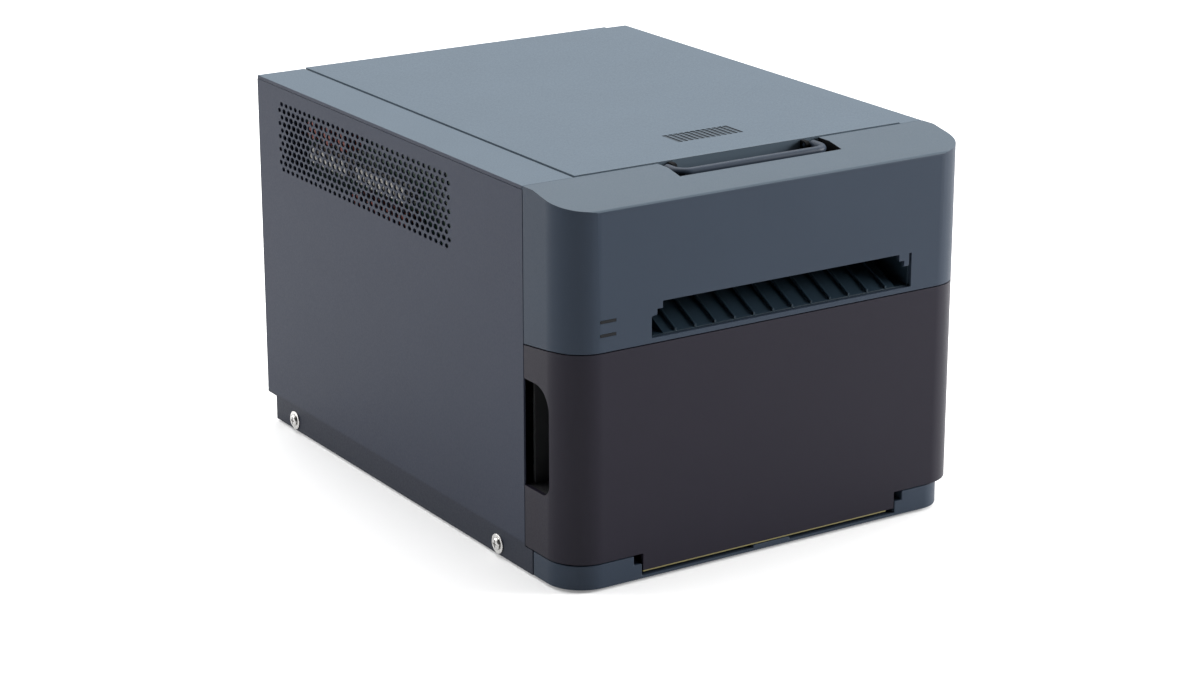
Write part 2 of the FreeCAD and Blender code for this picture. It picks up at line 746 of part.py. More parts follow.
def make_upper_front_cover():
    tall = ("seam_height - seam_drop - 2", f"{TOP} + 2")
    outer = shared(
        rounded_block((f"-{HALF}", HALF), (FRONT, SEAM), tall, "corner_radius", "corner_radius"),
        padded("X", (f"-{HALF} - 1", f"{HALF} + 1"),
               front_profile("0", "seam_height", "seam_drop"), {5: "edge_round"}))
    inner_half = f"({HALF} - case_wall)"
    inner_radius = "(corner_radius - case_wall)"
    inner = shared(
        rounded_block((f"-{inner_half}", inner_half), (f"{FRONT} + case_wall", f"{SEAM} + 2"),
                      tall, inner_radius, inner_radius),
        padded("X", (f"-{HALF} - 1", f"{HALF} + 1"),
               [(f"{FRONT} + case_wall", "seam_height - seam_drop - 1"),
                (f"{SEAM} + 2", "seam_height - seam_drop - 1"),
                (f"{SEAM} + 2", f"{STRIP_TOP} - case_wall"),
                (f"{FRONT} + crease_back", f"{STRIP_TOP} - case_wall"),
                (f"{FRONT} + case_wall", f"{STRIP_TOP} - top_slope_drop - case_wall")]))
    shell = carved(outer, inner)
    through = (f"{FRONT} - 1", f"{FRONT} + case_wall + 1")
    slot = padded("Y", through,
                  [("-slot_left", "slot_low"), ("slot_right", "slot_low"),
                   ("slot_right", "slot_high"), ("slit_edge", "slot_high"),
                   ("slit_edge", "step_low"), ("slit_edge - step_wide", "step_low"),
                   ("slit_edge - step_wide", "step_high"),
                   ("slit_edge - 2 * step_wide", "step_high"),
                   ("slit_edge - 2 * step_wide", "slot_high"),
                   ("-slot_left + 2 * step_wide", "slot_high"),
                   ("-slot_left + 2 * step_wide", "step_high"),
                   ("-slot_left + step_wide", "step_high"),
                   ("-slot_left + step_wide", "step_low"), ("-slot_left", "step_low")])
    lamps = [block(("-lamp_left", "-lamp_right"), through,
                   (f"{z} - lamp_thick / 2 - lamp_gap", f"{z} + lamp_thick / 2 + lamp_gap"))
             for z in ("lamp_low", "lamp_high")]
    mouth = block(("-well_left", "well_right"), (f"{SEAM} - well_wall - 1", f"{SEAM} + 1"),
                  (f"{LEDGE_LOW}", f"{TOP} + 1"))
    well = block(("-well_left", "well_right"), (f"{SEAM} - well_reach", f"{SEAM} - well_wall"),
                 (f"{STRIP_TOP} - top_slope_drop - well_depth", f"{TOP} + 1"))
    tub_low = f"({STRIP_TOP} - top_slope_drop - well_depth)"
    tub = block(("-well_left - well_wall", "well_right + well_wall"),
                (f"{SEAM} - well_reach - well_wall", SEAM), (f"{tub_low} - well_wall", STRIP_LOW))
    tub = shared(tub, outer)
    lugs = both(lambda side: block(
        side_span(side, f"{inner_half} - case_wall", f"{inner_half} + case_wall / 2"),
        (f"{SEAM} - lug_reach", f"{FRONT} + frame_front - stay_sheet"),
        ("slot_high", f"{TOP} - stay_top_gap")))
    trim = block((f"-{HALF}", HALF), (SEAM, f"{SEAM} + lug_reach"), tall)
    inside = block((f"-{inner_half}", inner_half), (SEAM, f"{SEAM} + lug_reach"), tall)
    rear_lugs = carved(fused(*lugs), carved(trim, inside))
    node("upper_front_cover", fused(carved(fused(shell, tub), slot, well, mouth, *lamps), rear_lugs))

    node("status_lenses", group(*[
        block(("-lamp_left + lamp_gap", "-lamp_right - lamp_gap"),
              (FRONT, f"{FRONT} + case_wall + 2"),
              (f"{z} - lamp_thick / 2", f"{z} + lamp_thick / 2"))
        for z in ("lamp_low", "lamp_high")]))


def make_exit_chute():
    lip_y = f"({FRONT} + case_wall)"
    back_y = f"({FRONT} + frame_front - stay_sheet)"
    shelf = "(path_height - rib_high - 0.6)"
    left, right = "(-slot_left + 1)", "(slot_right - 1)"
    ramp_left, ramp_right = "(-slot_left + ramp_in_left)", "(slot_right - ramp_in_right)"
    top = [(lip_y, "slot_low + 0.6"), (f"{lip_y} + ramp_run", shelf), (back_y, shelf)]
    low = [(y, f"{z} - ramp_wall") for y, z in reversed(top)]
    pieces = [padded("X", (ramp_left, ramp_right), top + low)]
    skirt = top + [(back_y, "slot_low + 0.6 - ramp_wall"), (lip_y, "slot_low + 0.6 - ramp_wall")]
    for outer, edge in ((left, ramp_left), (ramp_right, right)):
        pieces.append(block((outer, edge), (lip_y, back_y),
                            ("slot_low + 0.6 - ramp_wall", "slot_low + 0.6")))
    for span in ((ramp_left, f"{ramp_left} + cheek_wall"), (f"{ramp_right} - cheek_wall", ramp_right)):
        pieces.append(padded("X", span, skirt))
    rib_top = [(y, f"{z} + rib_high") for y, z in top]
    rib_low = [(y, f"{z} - ramp_wall / 2") for y, z in reversed(top)]
    first = math.ceil(value(f"{ramp_left} + rib_wide") / SIZES["rib_pitch"])
    last = math.floor(value(f"{ramp_right} - rib_wide") / SIZES["rib_pitch"])
    for i in range(first, last + 1):
        start = f"(rib_pitch * {i} - rib_wide / 2)"
        pieces.append(padded("X", (start, f"{start} + rib_wide"), rib_top + rib_low))
    for x in ((f"{left} - cheek_wall", left), (right, f"{right} + cheek_wall")):
        pieces.append(block(x, (lip_y, back_y), ("slot_low - ramp_wall", "slot_high + 1")))
    node("exit_chute", fused(*pieces))


# ---------------------------------------------------------------- lid
HINGE_Y = f"({REAR} - hinge_back)"
HINGE_Z = f"({TOP} - hinge_down)"


def make_lid():
    under = f"({TOP} - lid_wall)"
    rim_low = f"({TOP} - rim_depth)"
    plate = padded("Z", (under, TOP),
                   [(LID_LEFT, LID_FRONT), (LID_RIGHT, LID_FRONT), (LID_RIGHT, REAR), (LID_LEFT, REAR)])
    rims = [
        block((LID_LEFT, f"{LID_LEFT} + rim_wall"), (LID_FRONT, REAR), (rim_low, under)),
        block((f"{LID_RIGHT} - rim_wall", LID_RIGHT), (LID_FRONT, REAR), (rim_low, under)),
        block((LID_LEFT, LID_RIGHT), (LID_FRONT, f"{LID_FRONT} + rim_wall"), (rim_low, under)),
        block((LID_LEFT, LID_RIGHT), (f"{REAR} - rim_wall", REAR), (f"{TOP} - lip_drop", under))]
    lugs = []
    for x in (f"(-handle_left + handle_bar + side_gap)", "(handle_right - handle_bar - side_gap - lug_thick)"):
        span = (x, f"{x} + lug_thick")
        arm = block(span, (f"{LID_FRONT} - handle_pivot", f"{LID_FRONT} + rim_wall"),
                    (f"{HANDLE_Z} - lug_half", f"{HANDLE_Z} + lug_half"))
        eye = rod("X", span, (HANDLE_Y, HANDLE_Z), "lug_half")
        lugs.append(fused(arm, eye))
    pin_holes = [rod("X", ("-handle_left", "handle_right"), (HANDLE_Y, HANDLE_Z), "handle_pin + run_gap")]
    grooves = []
    for i in range(12):
        start = f"(-ridge_left + ridge_pitch * {i})"
        grooves.append(block((start, f"{start} + ridge_width"),
                             (f"{LID_FRONT} + ridge_back", f"{LID_FRONT} + ridge_back + ridge_long"),
                             (f"{TOP} - ridge_deep", f"{TOP} + 1")))
    barrels, bores = [], []
    for side in (1, -1):
        span = side_span(side, "hinge_span - barrel_half", "hinge_span + barrel_half")
        barrels.append(rod("X", span, (HINGE_Y, HINGE_Z), "hinge_barrel"))
        barrels.append(block(span, (f"{HINGE_Y} - hinge_barrel", HINGE_Y), (HINGE_Z, under)))
        bores.append(rod("X", span, (HINGE_Y, HINGE_Z), "hinge_pin + run_gap"))
    node("top_lid", carved(fused(plate, *rims, *lugs, *barrels), *pin_holes, *bores, *grooves))


def make_hinge_brackets():
    brackets, pins = [], []
    stay_top = f"({FRAME_TOP} - rear_stay_thick)"
    base_y = (f"({REAR} - frame_rear - rear_stay_wide)", f"({REAR} - frame_rear)")
    for side in (1, -1):
        outer = "(hinge_span + barrel_half + side_gap + ear_thick)"
        inner = "(hinge_span - barrel_half - side_gap - ear_thick)"
        pieces = [block(side_span(side, inner, outer), base_y, (stay_top, f"{stay_top} + ear_thick / 2"))]
        for low in (inner, f"({outer} - ear_thick)"):
            span = side_span(side, low, f"{low} + ear_thick")
            pieces.append(block(span, (base_y[0], HINGE_Y), (stay_top, f"{HINGE_Z} - hinge_ear * 0.2")))
            pieces.append(block(span, (f"{HINGE_Y} - 14", HINGE_Y),
                                (f"{HINGE_Z} - hinge_ear", f"{HINGE_Z} + hinge_ear")))
            pieces.append(rod("X", span, (HINGE_Y, HINGE_Z), "hinge_ear"))
        arm_cut = block(side_span(side, f"{inner} - 1", f"{outer} + 1"),
                        (base_y[1], f"{HINGE_Y} + hinge_ear + 1"), (f"{stay_top} - 1", f"{HINGE_Z} - hinge_ear"))
        hole = rod("X", side_span(side, inner, outer), (HINGE_Y, HINGE_Z), "hinge_pin")
        brackets.append(carved(fused(*pieces), arm_cut, hole))
        pins.append(rod("X", side_span(side, inner, outer), (HINGE_Y, HINGE_Z), "hinge_pin"))
    node("hinge_brackets", group(*brackets))
    node("hinge_pins", group(*pins))


HANDLE_Y = f"({LID_FRONT} - handle_pivot)"
HANDLE_Z = f"({STRIP_TOP} - handle_bar)"


def make_lid_handle():
    bar_y = f"({HANDLE_Y} - handle_reach + handle_bar)"
    pieces = []
    for x in ("-handle_left", "handle_right"):
        pieces.append(rod("Y", (bar_y, HANDLE_Y), (x, HANDLE_Z), "handle_bar"))
        for y in (bar_y, HANDLE_Y):
            ball = doc.addObject("Part::Sphere", "ball")
            bind(ball, "Radius", "handle_bar")
            place(ball, x, y, HANDLE_Z)
            pieces.append(ball)
    pieces.append(rod("X", ("-handle_left", "handle_right"), (bar_y, HANDLE_Z), "handle_bar"))
    for span in (("-handle_left", "-handle_left + handle_bar + side_gap + lug_thick"),
                 ("handle_right - handle_bar - side_gap - lug_thick", "handle_right")):
        pieces.append(rod("X", span, (HANDLE_Y, HANDLE_Z), "handle_pin"))
    node("lid_handle", fused(*pieces))


# ---------------------------------------------------------------- inner frame
PATH = "path_height"
PLATEN = (f"({FRONT} + platen_back)", "(path_height - platen_radius)")
CAPSTAN = (f"({FRONT} + capstan_back)", "(path_height - capstan_radius)")
PINCH = (f"({FRONT} + capstan_back)", "(path_height + capstan_radius + paper_gap)")
PIVOT = (f"({FRONT} + pivot_back)", "pivot_height")
SUPPLY = (f"({FRONT} + supply_back)", "supply_height")
TAKEUP = (f"({FRONT} + takeup_back)", "takeup_height")
MOTOR = (f"({FRONT} + motor_back)", "motor_height")


def pitch_radius(teeth):
    return f"(gear_module * {teeth} / 2)"


def mesh_point(first, first_teeth, second, second_teeth, teeth, side):
    """Place of an idler that meshes with two gears: a corner of a triangle of known sides."""
    reach_a = f"({pitch_radius(first_teeth)} + {pitch_radius(teeth)} + gear_backlash)"
    reach_b = f"({pitch_radius(second_teeth)} + {pitch_radius(teeth)} + gear_backlash)"
    dy = f"({second[0]} - {first[0]})"
    dz = f"({second[1]} - {first[1]})"
    square = f"({dy} * {dy} + {dz} * {dz})"
    along = f"(({reach_a} * {reach_a} - {reach_b} * {reach_b} + {square}) / (2 * {square}))"
    across = f"({side} * sqrt({reach_a} * {reach_a} / {square} - {along} * {along}))"
    return (f"({first[0]} + {along} * {dy} - {across} * {dz})",
            f"({first[1]} + {along} * {dz} + {across} * {dy})")


IDLER = mesh_point(MOTOR, "pinion_teeth", CAPSTAN, "capstan_teeth", "idler_teeth", -1)


def make_frames():
    y = (f"({FRONT} + frame_front)", f"({REAR} - frame_rear)")
    z = (FLOOR_TOP, FRAME_TOP)
    bush = "bush_wall"
    for name, side in (("left_frame", -1), ("right_frame", 1)):
        span = side_span(side, FRAME_IN, FRAME_OUT)
        plate = block(span, y, z)
        tools = [rod("X", span, PLATEN, f"roller_shaft + {bush}"),
                 rod("X", span, CAPSTAN, f"roller_shaft + {bush}"),
                 rod("X", span, PINCH, "pinch_shaft + 1.5"),
                 rod("X", span, SUPPLY, f"spool_shaft + {bush}"),
                 rod("X", span, TAKEUP, f"spool_shaft + {bush}"),
                 rod("X", span, PIVOT, "pivot_shaft + run_gap")]
        window_y = (f"({FRONT} + pivot_back + 12)", f"({REAR} - frame_rear - 14)")
        tools.append(block(span, window_y, ("runner_low + 40", "path_height + 26")))
        if side > 0:
            tools.append(rod("X", span, IDLER, "idler_pin"))
        node(name, carved(plate, *tools))

    inner_half = f"({HALF} - case_wall)"
    stay_y = (f"({FRONT} + frame_front - stay_sheet)", f"({FRONT} + frame_front)")
    plate = block((f"-({inner_half} - 0.2)", f"{inner_half} - 0.2"), stay_y,
                  ("stay_low", f"({TOP} - stay_top_gap)"))
    window = block(("-slot_left + 1", "slot_right - 1"), (f"{stay_y[0]} - 1", f"{stay_y[1]} + 1"),
                   ("path_height - rib_high - 2.8", "path_height + 8"))
    node("front_stay", carved(plate, window))
    rear_y = (f"({REAR} - frame_rear - rear_stay_wide)", f"({REAR} - frame_rear)")
    node("rear_stay", block((f"-{FRAME_IN}", FRAME_IN), rear_y,
                            (f"({FRAME_TOP} - 2 * rear_stay_thick)", f"({FRAME_TOP} - rear_stay_thick)")))


def make_bushes():
    """Plain bearings pressed into both frames."""
    bushes = []
    for side in (1, -1):
        span = side_span(side, FRAME_IN, f"{FRAME_OUT} + 0.6")
        for at, outer, shaft in ((PLATEN, "roller_shaft + bush_wall", "roller_shaft"),
                                 (CAPSTAN, "roller_shaft + bush_wall", "roller_shaft"),
                                 (PINCH, "pinch_shaft + 1.5", "pinch_shaft"),
                                 (SUPPLY, "spool_shaft + bush_wall", "spool_shaft"),
                                 (TAKEUP, "spool_shaft + bush_wall", "spool_shaft")):
            bushes.append(tube("X", span, at, outer, f"{shaft} + run_gap"))
    node("shaft_bushes", group(*bushes))


# ---------------------------------------------------------------- rollers and gears
GEAR_LOW = f"({FRAME_OUT} + gear_side_gap)"
GEAR_HIGH = f"({GEAR_LOW} + gear_width)"


def make_rollers():
    node("platen_shaft", rod("X", (f"-{FRAME_OUT} - 1", f"{FRAME_OUT} + 1"), PLATEN, "roller_shaft"))
    node("platen_rubber", tube("X", ("-paper_half - 4", "paper_half + 4"), PLATEN,
                               "platen_radius", "roller_shaft"))
    node("capstan_roller", fused(
        rod("X", (f"-{FRAME_OUT} - 1", f"{GEAR_HIGH} + 1"), CAPSTAN, "roller_shaft"),
        rod("X", ("-paper_half - 2", "paper_half + 2"), CAPSTAN, "capstan_radius")))
    sleeves = []
    for i in range(4):
        start = f"(-paper_half + 2 + {i} * (2 * paper_half - 4 - 20) / 3)"
        sleeves.append(rod("X", (start, f"{start} + 20"), PINCH, "capstan_radius"))
    spindle = rod("X", (f"-{FRAME_OUT} - 0.6", f"{FRAME_OUT} + 0.6"), PINCH, "pinch_shaft")
    node("pinch_roller", fused(spindle, *sleeves))


def make_gears():
    """Capstan gear, idler and motor pinion, all in mesh at rest."""
    motor_end = f"({GEAR_HIGH} + 1.5 + motor_plate + 8)"
    chain = (("capstan_gear", CAPSTAN, "capstan_teeth", "roller_shaft"),
             ("idler_gear", IDLER, "idler_teeth", "idler_pin + run_gap"),
             ("motor_pinion", MOTOR, "pinion_teeth", "motor_shaft / 2"))
    last = None
    for name, at, count, bore in chain:
        teeth = int(SIZES[count])
        here = (value(at[0]), value(at[1]))
        turn = 0.0
        if last:
            other, other_teeth, other_turn = last
            line = math.atan2(here[1] - other[1], here[0] - other[0])
            phase = (line - other_turn) * other_teeth / (2 * math.pi)
            turn = line + math.pi + (phase + 0.5) * 2 * math.pi / teeth
        last = (here, teeth, turn)
        made = gear(teeth, value(bore))
        set_gear(made, turn, GEAR_LOW, *at)
        if name == "motor_pinion":
            made = fused(made, rod("X", (f"{GEAR_LOW} - 0.5", motor_end), MOTOR, "motor_shaft"))
        node(name, made)
    node("idler_pin_stud", rod("X", (FRAME_IN, f"{GEAR_HIGH} + 1"), IDLER, "idler_pin"))


def make_motor():
    plate_low = f"({GEAR_HIGH} + 1.5)"
    plate_high = f"({plate_low} + motor_plate)"
    half = "motor_side / 2"
    square_y = (f"{MOTOR[0]} - {half}", f"{MOTOR[0]} + {half}")
    square_z = (f"{MOTOR[1]} - {half}", f"{MOTOR[1]} + {half}")
    posts = []
    for dy, dz in (("-1", "-1"), ("1", "-1"), ("1", "1")):
        at = (f"{MOTOR[0]} + {dy} * ({half} - 3.5)", f"{MOTOR[1]} + {dz} * ({half} - 3.5)")
        posts.append(rod("X", (FRAME_OUT, f"{plate_low} + motor_plate / 2"), at, "2.5"))
    hole = rod("X", (plate_low, plate_high), MOTOR, "motor_shaft + hole_gap")
    node("motor_bracket", carved(fused(block((plate_low, plate_high), square_y, square_z), *posts), hole))
    shaft_end = f"({plate_high} + 8)"
    can = fused(
        block((plate_high, f"{plate_high} + motor_long"), (f"{square_y[0]} + 3", f"{square_y[1]} - 3"), square_z),
        block((plate_high, f"{plate_high} + motor_long"), square_y, (f"{square_z[0]} + 3", f"{square_z[1]} - 3")))
    node("feed_motor", carved(can, rod("X", (plate_high, f"{shaft_end} + side_gap"), MOTOR,
                                       "motor_shaft + run_gap")))


# ---------------------------------------------------------------- print head
def make_head():
    y = (f"{PLATEN[0]} - head_long / 2", f"{PLATEN[0]} + head_long / 2")
    strip_low = "(path_height + paper_gap)"
    mount_low = f"({strip_low} + head_board)"
    sink_low = f"({mount_low} + head_mount)"
    sink_top = f"({sink_low} + sink_base + sink_height)"
    x = ("-paper_half - 4", "paper_half + 4")
    node("thermal_head", fused(
        block(x, (f"{PLATEN[0]} - 6", f"{PLATEN[0]} + 6"), (strip_low, mount_low)),
        block(x, y, (mount_low, sink_low))))
    fins = [block(x, y, (sink_low, f"{sink_low} + sink_base"))]
    count = int(value("2 * (paper_half + 4) - fin_thick") // SIZES["fin_pitch"]) + 1
    for i in range(count):
        start = f"(-paper_half - 4 + fin_pitch * {i})"
        fins.append(block((start, f"{start} + fin_thick"), y, (sink_low, sink_top)))
    node("heat_sink", fused(*fins))
    plate_z = (sink_top, f"{sink_top} + arm_sheet")
    cross = block(("-arm_side", "arm_side"), y, plate_z)
    arm_z = ("pivot_height - arm_high / 2", "pivot_height + arm_high / 2")
    sides = both(lambda side: block(side_span(side, "arm_side - arm_sheet", "arm_side"),
                                    (f"{y[0]} - 2", f"{PIVOT[0]} + 7"), arm_z))
    holes = rod("X", ("-arm_side - 1", "arm_side + 1"), PIVOT, "pivot_shaft + run_gap")
    node("head_arm", carved(fused(cross, *sides), holes))
    node("head_pivot_shaft", rod("X", (f"-{FRAME_OUT}", FRAME_OUT), PIVOT, "pivot_shaft"))


# ---------------------------------------------------------------- ribbon
def make_ribbon():
    for name, at in (("supply_spool", SUPPLY), ("takeup_spool", TAKEUP)):
        core = rod("X", ("-paper_half - 6", "paper_half + 6"), at, "ribbon_core")
        rims = [rod("X", (f"{x} - ribbon_flange / 2", f"{x} + ribbon_flange / 2"), at, "takeup_radius")
                for x in ("(-paper_half - 2)", "(paper_half + 2)")]
        axle = rod("X", (f"-{FRAME_OUT} - 0.6", f"{FRAME_OUT} + 0.6"), at, "spool_shaft")
        node(name, fused(core, axle, *rims))
    node("ribbon_roll", tube("X", ("-paper_half", "paper_half"), SUPPLY, "supply_radius", "ribbon_core"))


# ---------------------------------------------------------------- cutter
RAIL_Y = (f"({FRONT} + rail_back)", f"({FRONT} + rail_back + rail_thick)")
RAIL_Z = ("rail_low", "rail_low + rail_high")
WHEEL_Z = "(path_height + wheel_radius - wheel_overlap)"
WHEEL_Y = f"({FRONT} + rail_back + rail_thick + carriage_wall + carriage_gap)"


def make_cutter():
    node("cutter_rail", block((f"-{FRAME_IN}", FRAME_IN), RAIL_Y, RAIL_Z))
    x = (f"(-{FRAME_IN} + 2)", f"(-{FRAME_IN} + 2 + carriage_wide)")
    middle = f"({x[0]} + carriage_wide / 2)"
    body = block(x, (f"{RAIL_Y[0]} - carriage_wall", f"{WHEEL_Y} - side_gap"),
                 (f"{WHEEL_Z} - 5", f"rail_low + rail_high + carriage_wall"))
    channel = block((f"{x[0]} - 1", f"{x[1]} + 1"),
                    (f"{RAIL_Y[0]} - carriage_gap", f"{RAIL_Y[1]} + carriage_gap"),
                    ("rail_low - carriage_gap", "rail_low + rail_high + carriage_gap"))
    axle = rod("Y", (f"{WHEEL_Y} - side_gap - 1", f"{WHEEL_Y} + wheel_thick + 0.4"), (middle, WHEEL_Z), "1.5")
    node("cutter_carriage", fused(carved(body, channel), axle))
    disc = rod("Y", (WHEEL_Y, f"{WHEEL_Y} + wheel_thick"), (middle, WHEEL_Z), "wheel_radius")
    marks = [rod("Y", (WHEEL_Y, f"{WHEEL_Y} + wheel_thick"), (f"{middle} + {dx}", f"{WHEEL_Z} + {dz}"), "1.2")
             for dx, dz in (("4.5", "0"), ("-4.5", "0"), ("0", "4.5"), ("0", "-4.5"))]
    node("cutter_wheel", carved(disc, rod("Y", (WHEEL_Y, f"{WHEEL_Y} + wheel_thick"), (middle, WHEEL_Z),
                                          "1.5 + run_gap"), *marks))
    blade_y = (f"({WHEEL_Y} + wheel_thick + 0.5)", f"({WHEEL_Y} + wheel_thick + 0.5 + blade_thick)")
    node("fixed_blade", block((f"-{FRAME_IN}", FRAME_IN), blade_y,
                              ("path_height - 0.5 - blade_high", "path_height - 0.5")))


# ---------------------------------------------------------------- drawer and paper roll
def make_drawer_front():
    high = "(seam_height - seam_gap)"
    tall = ("skirt_height", f"{high} + 2")
    outline = [(FRONT, "skirt_height"), (SEAM, "skirt_height"), (SEAM, f"{high} - seam_drop"),
               (f"{FRONT} + seam_flat", high), (FRONT, high)]
    outer = shared(
        rounded_block((f"-{HALF}", HALF), (FRONT, SEAM), tall, "corner_radius", "corner_radius"),
        padded("X", (f"-{HALF} - 1", f"{HALF} + 1"), outline))
    inner_half = f"({HALF} - case_wall)"
    inner_radius = "(corner_radius - case_wall)"
    inner = rounded_block((f"-{inner_half}", inner_half), (f"{FRONT} + case_wall", f"{SEAM} + 2"),
                          ("skirt_height + case_wall", f"{high} - seam_drop - case_wall"),
                          inner_radius, inner_radius)
    cups, mouths = [], []
    outline = [(f"{SEAM} - recess_wall", "recess_low"), (f"{SEAM} - recess_reach", "recess_low"),
               (f"{SEAM} - recess_reach", "recess_high"), (f"{SEAM} - recess_wall", "recess_high")]
    rounds = {2: "recess_top_round", 1: "recess_low_round"}
    cup_half = f"({inner_half} - recess_gap)"
    cup_radius = f"({inner_radius} - recess_gap)"
    for side in (1, -1):
        tall = ("recess_low - recess_wall", "recess_high + recess_wall")
        shell = shared(
            block(side_span(side, f"{HALF} - recess_deep - recess_wall", HALF),
                  (f"{SEAM} - recess_reach - recess_wall", f"{SEAM} + 1"), tall),
            rounded_block((f"-{cup_half}", cup_half), (f"{FRONT} + case_wall + recess_gap", SEAM),
                          tall, cup_radius, cup_radius))
        reach = side_span(side, f"{HALF} - recess_deep", f"{HALF} + 1")
        rear = block(side_span(side, f"{HALF} - recess_lap", f"{HALF} + 1"),
                     (f"{SEAM} - recess_wall - 1", f"{SEAM} + 1"), ("recess_low", "recess_high"))
        cups.append(carved(shell, padded("X", reach, outline, rounds), rear))
        mouths.append(padded("X", side_span(side, inner_half, f"{HALF} + 1"),
                             [(f"{SEAM} + 3", "recess_low"), *outline[1:3],
                              (f"{SEAM} + 3", "recess_high")], rounds))
    tongue = block(("-tongue_half", "tongue_half"), (FRONT, f"{FRONT} + case_wall"),
                   ("tongue_bottom", "skirt_height + 1"))
    node("drawer_front", fused(carved(outer, inner, *mouths), tongue))
    node("finger_cups", group(*cups))
    node("edge_strip", block(("-tongue_half", "tongue_half - notch_step"), (FRONT, f"{FRONT} + case_wall"),
                             ("tongue_bottom - strip_thick", "tongue_bottom")))


ROLL = (f"({FRONT} + roll_back)", "roll_height")
TRAY_REAR = f"({REAR} - supply_rear_gap - supply_long - tray_rear_gap)"


def make_drawer_tray():
    floor_z = ("tray_low", "tray_low + tray_wall")
    wall_z = ("tray_low", "tray_top")
    wall_y = (f"({FRONT} + tray_side_front)", TRAY_REAR)
    floor = block(("-tray_half", "tray_half"), (f"{FRONT} + case_wall", TRAY_REAR), floor_z)
    walls = both(lambda side: block(side_span(side, "tray_half - tray_wall", "tray_half"), wall_y, wall_z))
    rear = block(("-tray_half", "tray_half"), (f"{TRAY_REAR} - tray_wall", TRAY_REAR),
                 ("tray_low", "tray_low + tray_rear_high"))
    seat = "stub_radius + run_gap"
    notch = fused(rod("X", ("-tray_half - 1", "tray_half + 1"), ROLL, seat),
                  block(("-tray_half - 1", "tray_half + 1"),
                        (f"{ROLL[0]} - ({seat})", f"{ROLL[0]} + {seat}"),
                        ("roll_height", "tray_top + 1")))
    runner_z = ("runner_low", "runner_low + runner_high")
    runners = both(lambda side: block(
        side_span(side, "tray_half - tray_wall / 2", "tray_half + runner_thick"), wall_y, runner_z))
    node("drawer_tray", fused(carved(fused(floor, rear, *walls), notch), *runners))
    rail_y = (f"({FRONT} + frame_front + 2)", f"({TRAY_REAR} + 8)")

    def rail(side):
        low, high = "(runner_low - rail_gap)", "(runner_low + runner_high + rail_gap)"
        web = side_span(side, f"{FRAME_IN} - rail_wall", FRAME_IN)
        arm = side_span(side, "tray_half + 1", FRAME_IN)
        return fused(block(web, rail_y, (f"{low} - rail_wall", f"{high} + rail_wall")),
                     block(arm, rail_y, (f"{low} - rail_wall", low)),
                     block(arm, rail_y, (high, f"{high} + rail_wall")))
    node("drawer_rails", group(*both(rail)))


def make_paper_roll():
    x = ("-paper_half", "paper_half")
    node("paper_roll", tube("X", x, ROLL, "roll_radius", "core_radius"))
    flanges = []
    for side in (1, -1):
        disc = rod("X", side_span(side, "paper_half", "paper_half + flange_thick"), ROLL, "flange_radius")
        hub = rod("X", side_span(side, "paper_half - 12", "paper_half"), ROLL, "core_radius")
        stub = rod("X", side_span(side, "paper_half", "stub_end"), ROLL, "stub_radius")
        flanges.append(fused(disc, hub, stub))
    node("roll_flanges", group(*flanges))


# ---------------------------------------------------------------- boards, power, fan, sockets
BOARD_IN = f"(-{FRAME_OUT} - board_stand)"
BOARD_FACE = f"({BOARD_IN} - board_thick)"


def make_boards():
    y = (f"({FRONT} + board_front)", f"({REAR} - board_rear)")
    z = ("board_low", "board_high")
    node("main_board", block((BOARD_FACE, BOARD_IN), y, z))
    posts = []
    for at_y in (f"({y[0]} + standoff_inset)", f"({y[1]} - standoff_inset)"):
        for at_z in ("(board_low + standoff_inset)", "(board_high - standoff_inset)"):
            posts.append(rod("X", (BOARD_IN, f"-{FRAME_OUT}"), (at_y, at_z), "standoff_radius"))
    node("board_standoffs", group(*posts))

    sockets, coils = [], []
    for back, count in (("plug_back_a", 4), ("plug_back_b", 5)):
        for i in range(count):
            start = f"({REAR} - {back} - plug_pitch * {i} - plug_long)"
            sockets.append(block((f"{BOARD_FACE} - plug_tall", BOARD_FACE), (start, f"{start} + plug_long"),
                                 (f"{TOP} - plug_drop - plug_high", f"{TOP} - plug_drop")))
    for back, drop, count in (("coil_back_a", "coil_drop_a", 3), ("coil_back_b", "coil_drop_b", 4)):
        for i in range(count):
            at = (f"({REAR} - {back} - coil_pitch * {i})", f"({TOP} - {drop})")
            coils.append(rod("X", (f"{BOARD_FACE} - coil_tall", BOARD_FACE), at, "coil_radius"))
    node("board_sockets", group(*sockets))
    node("board_coils", group(*coils))


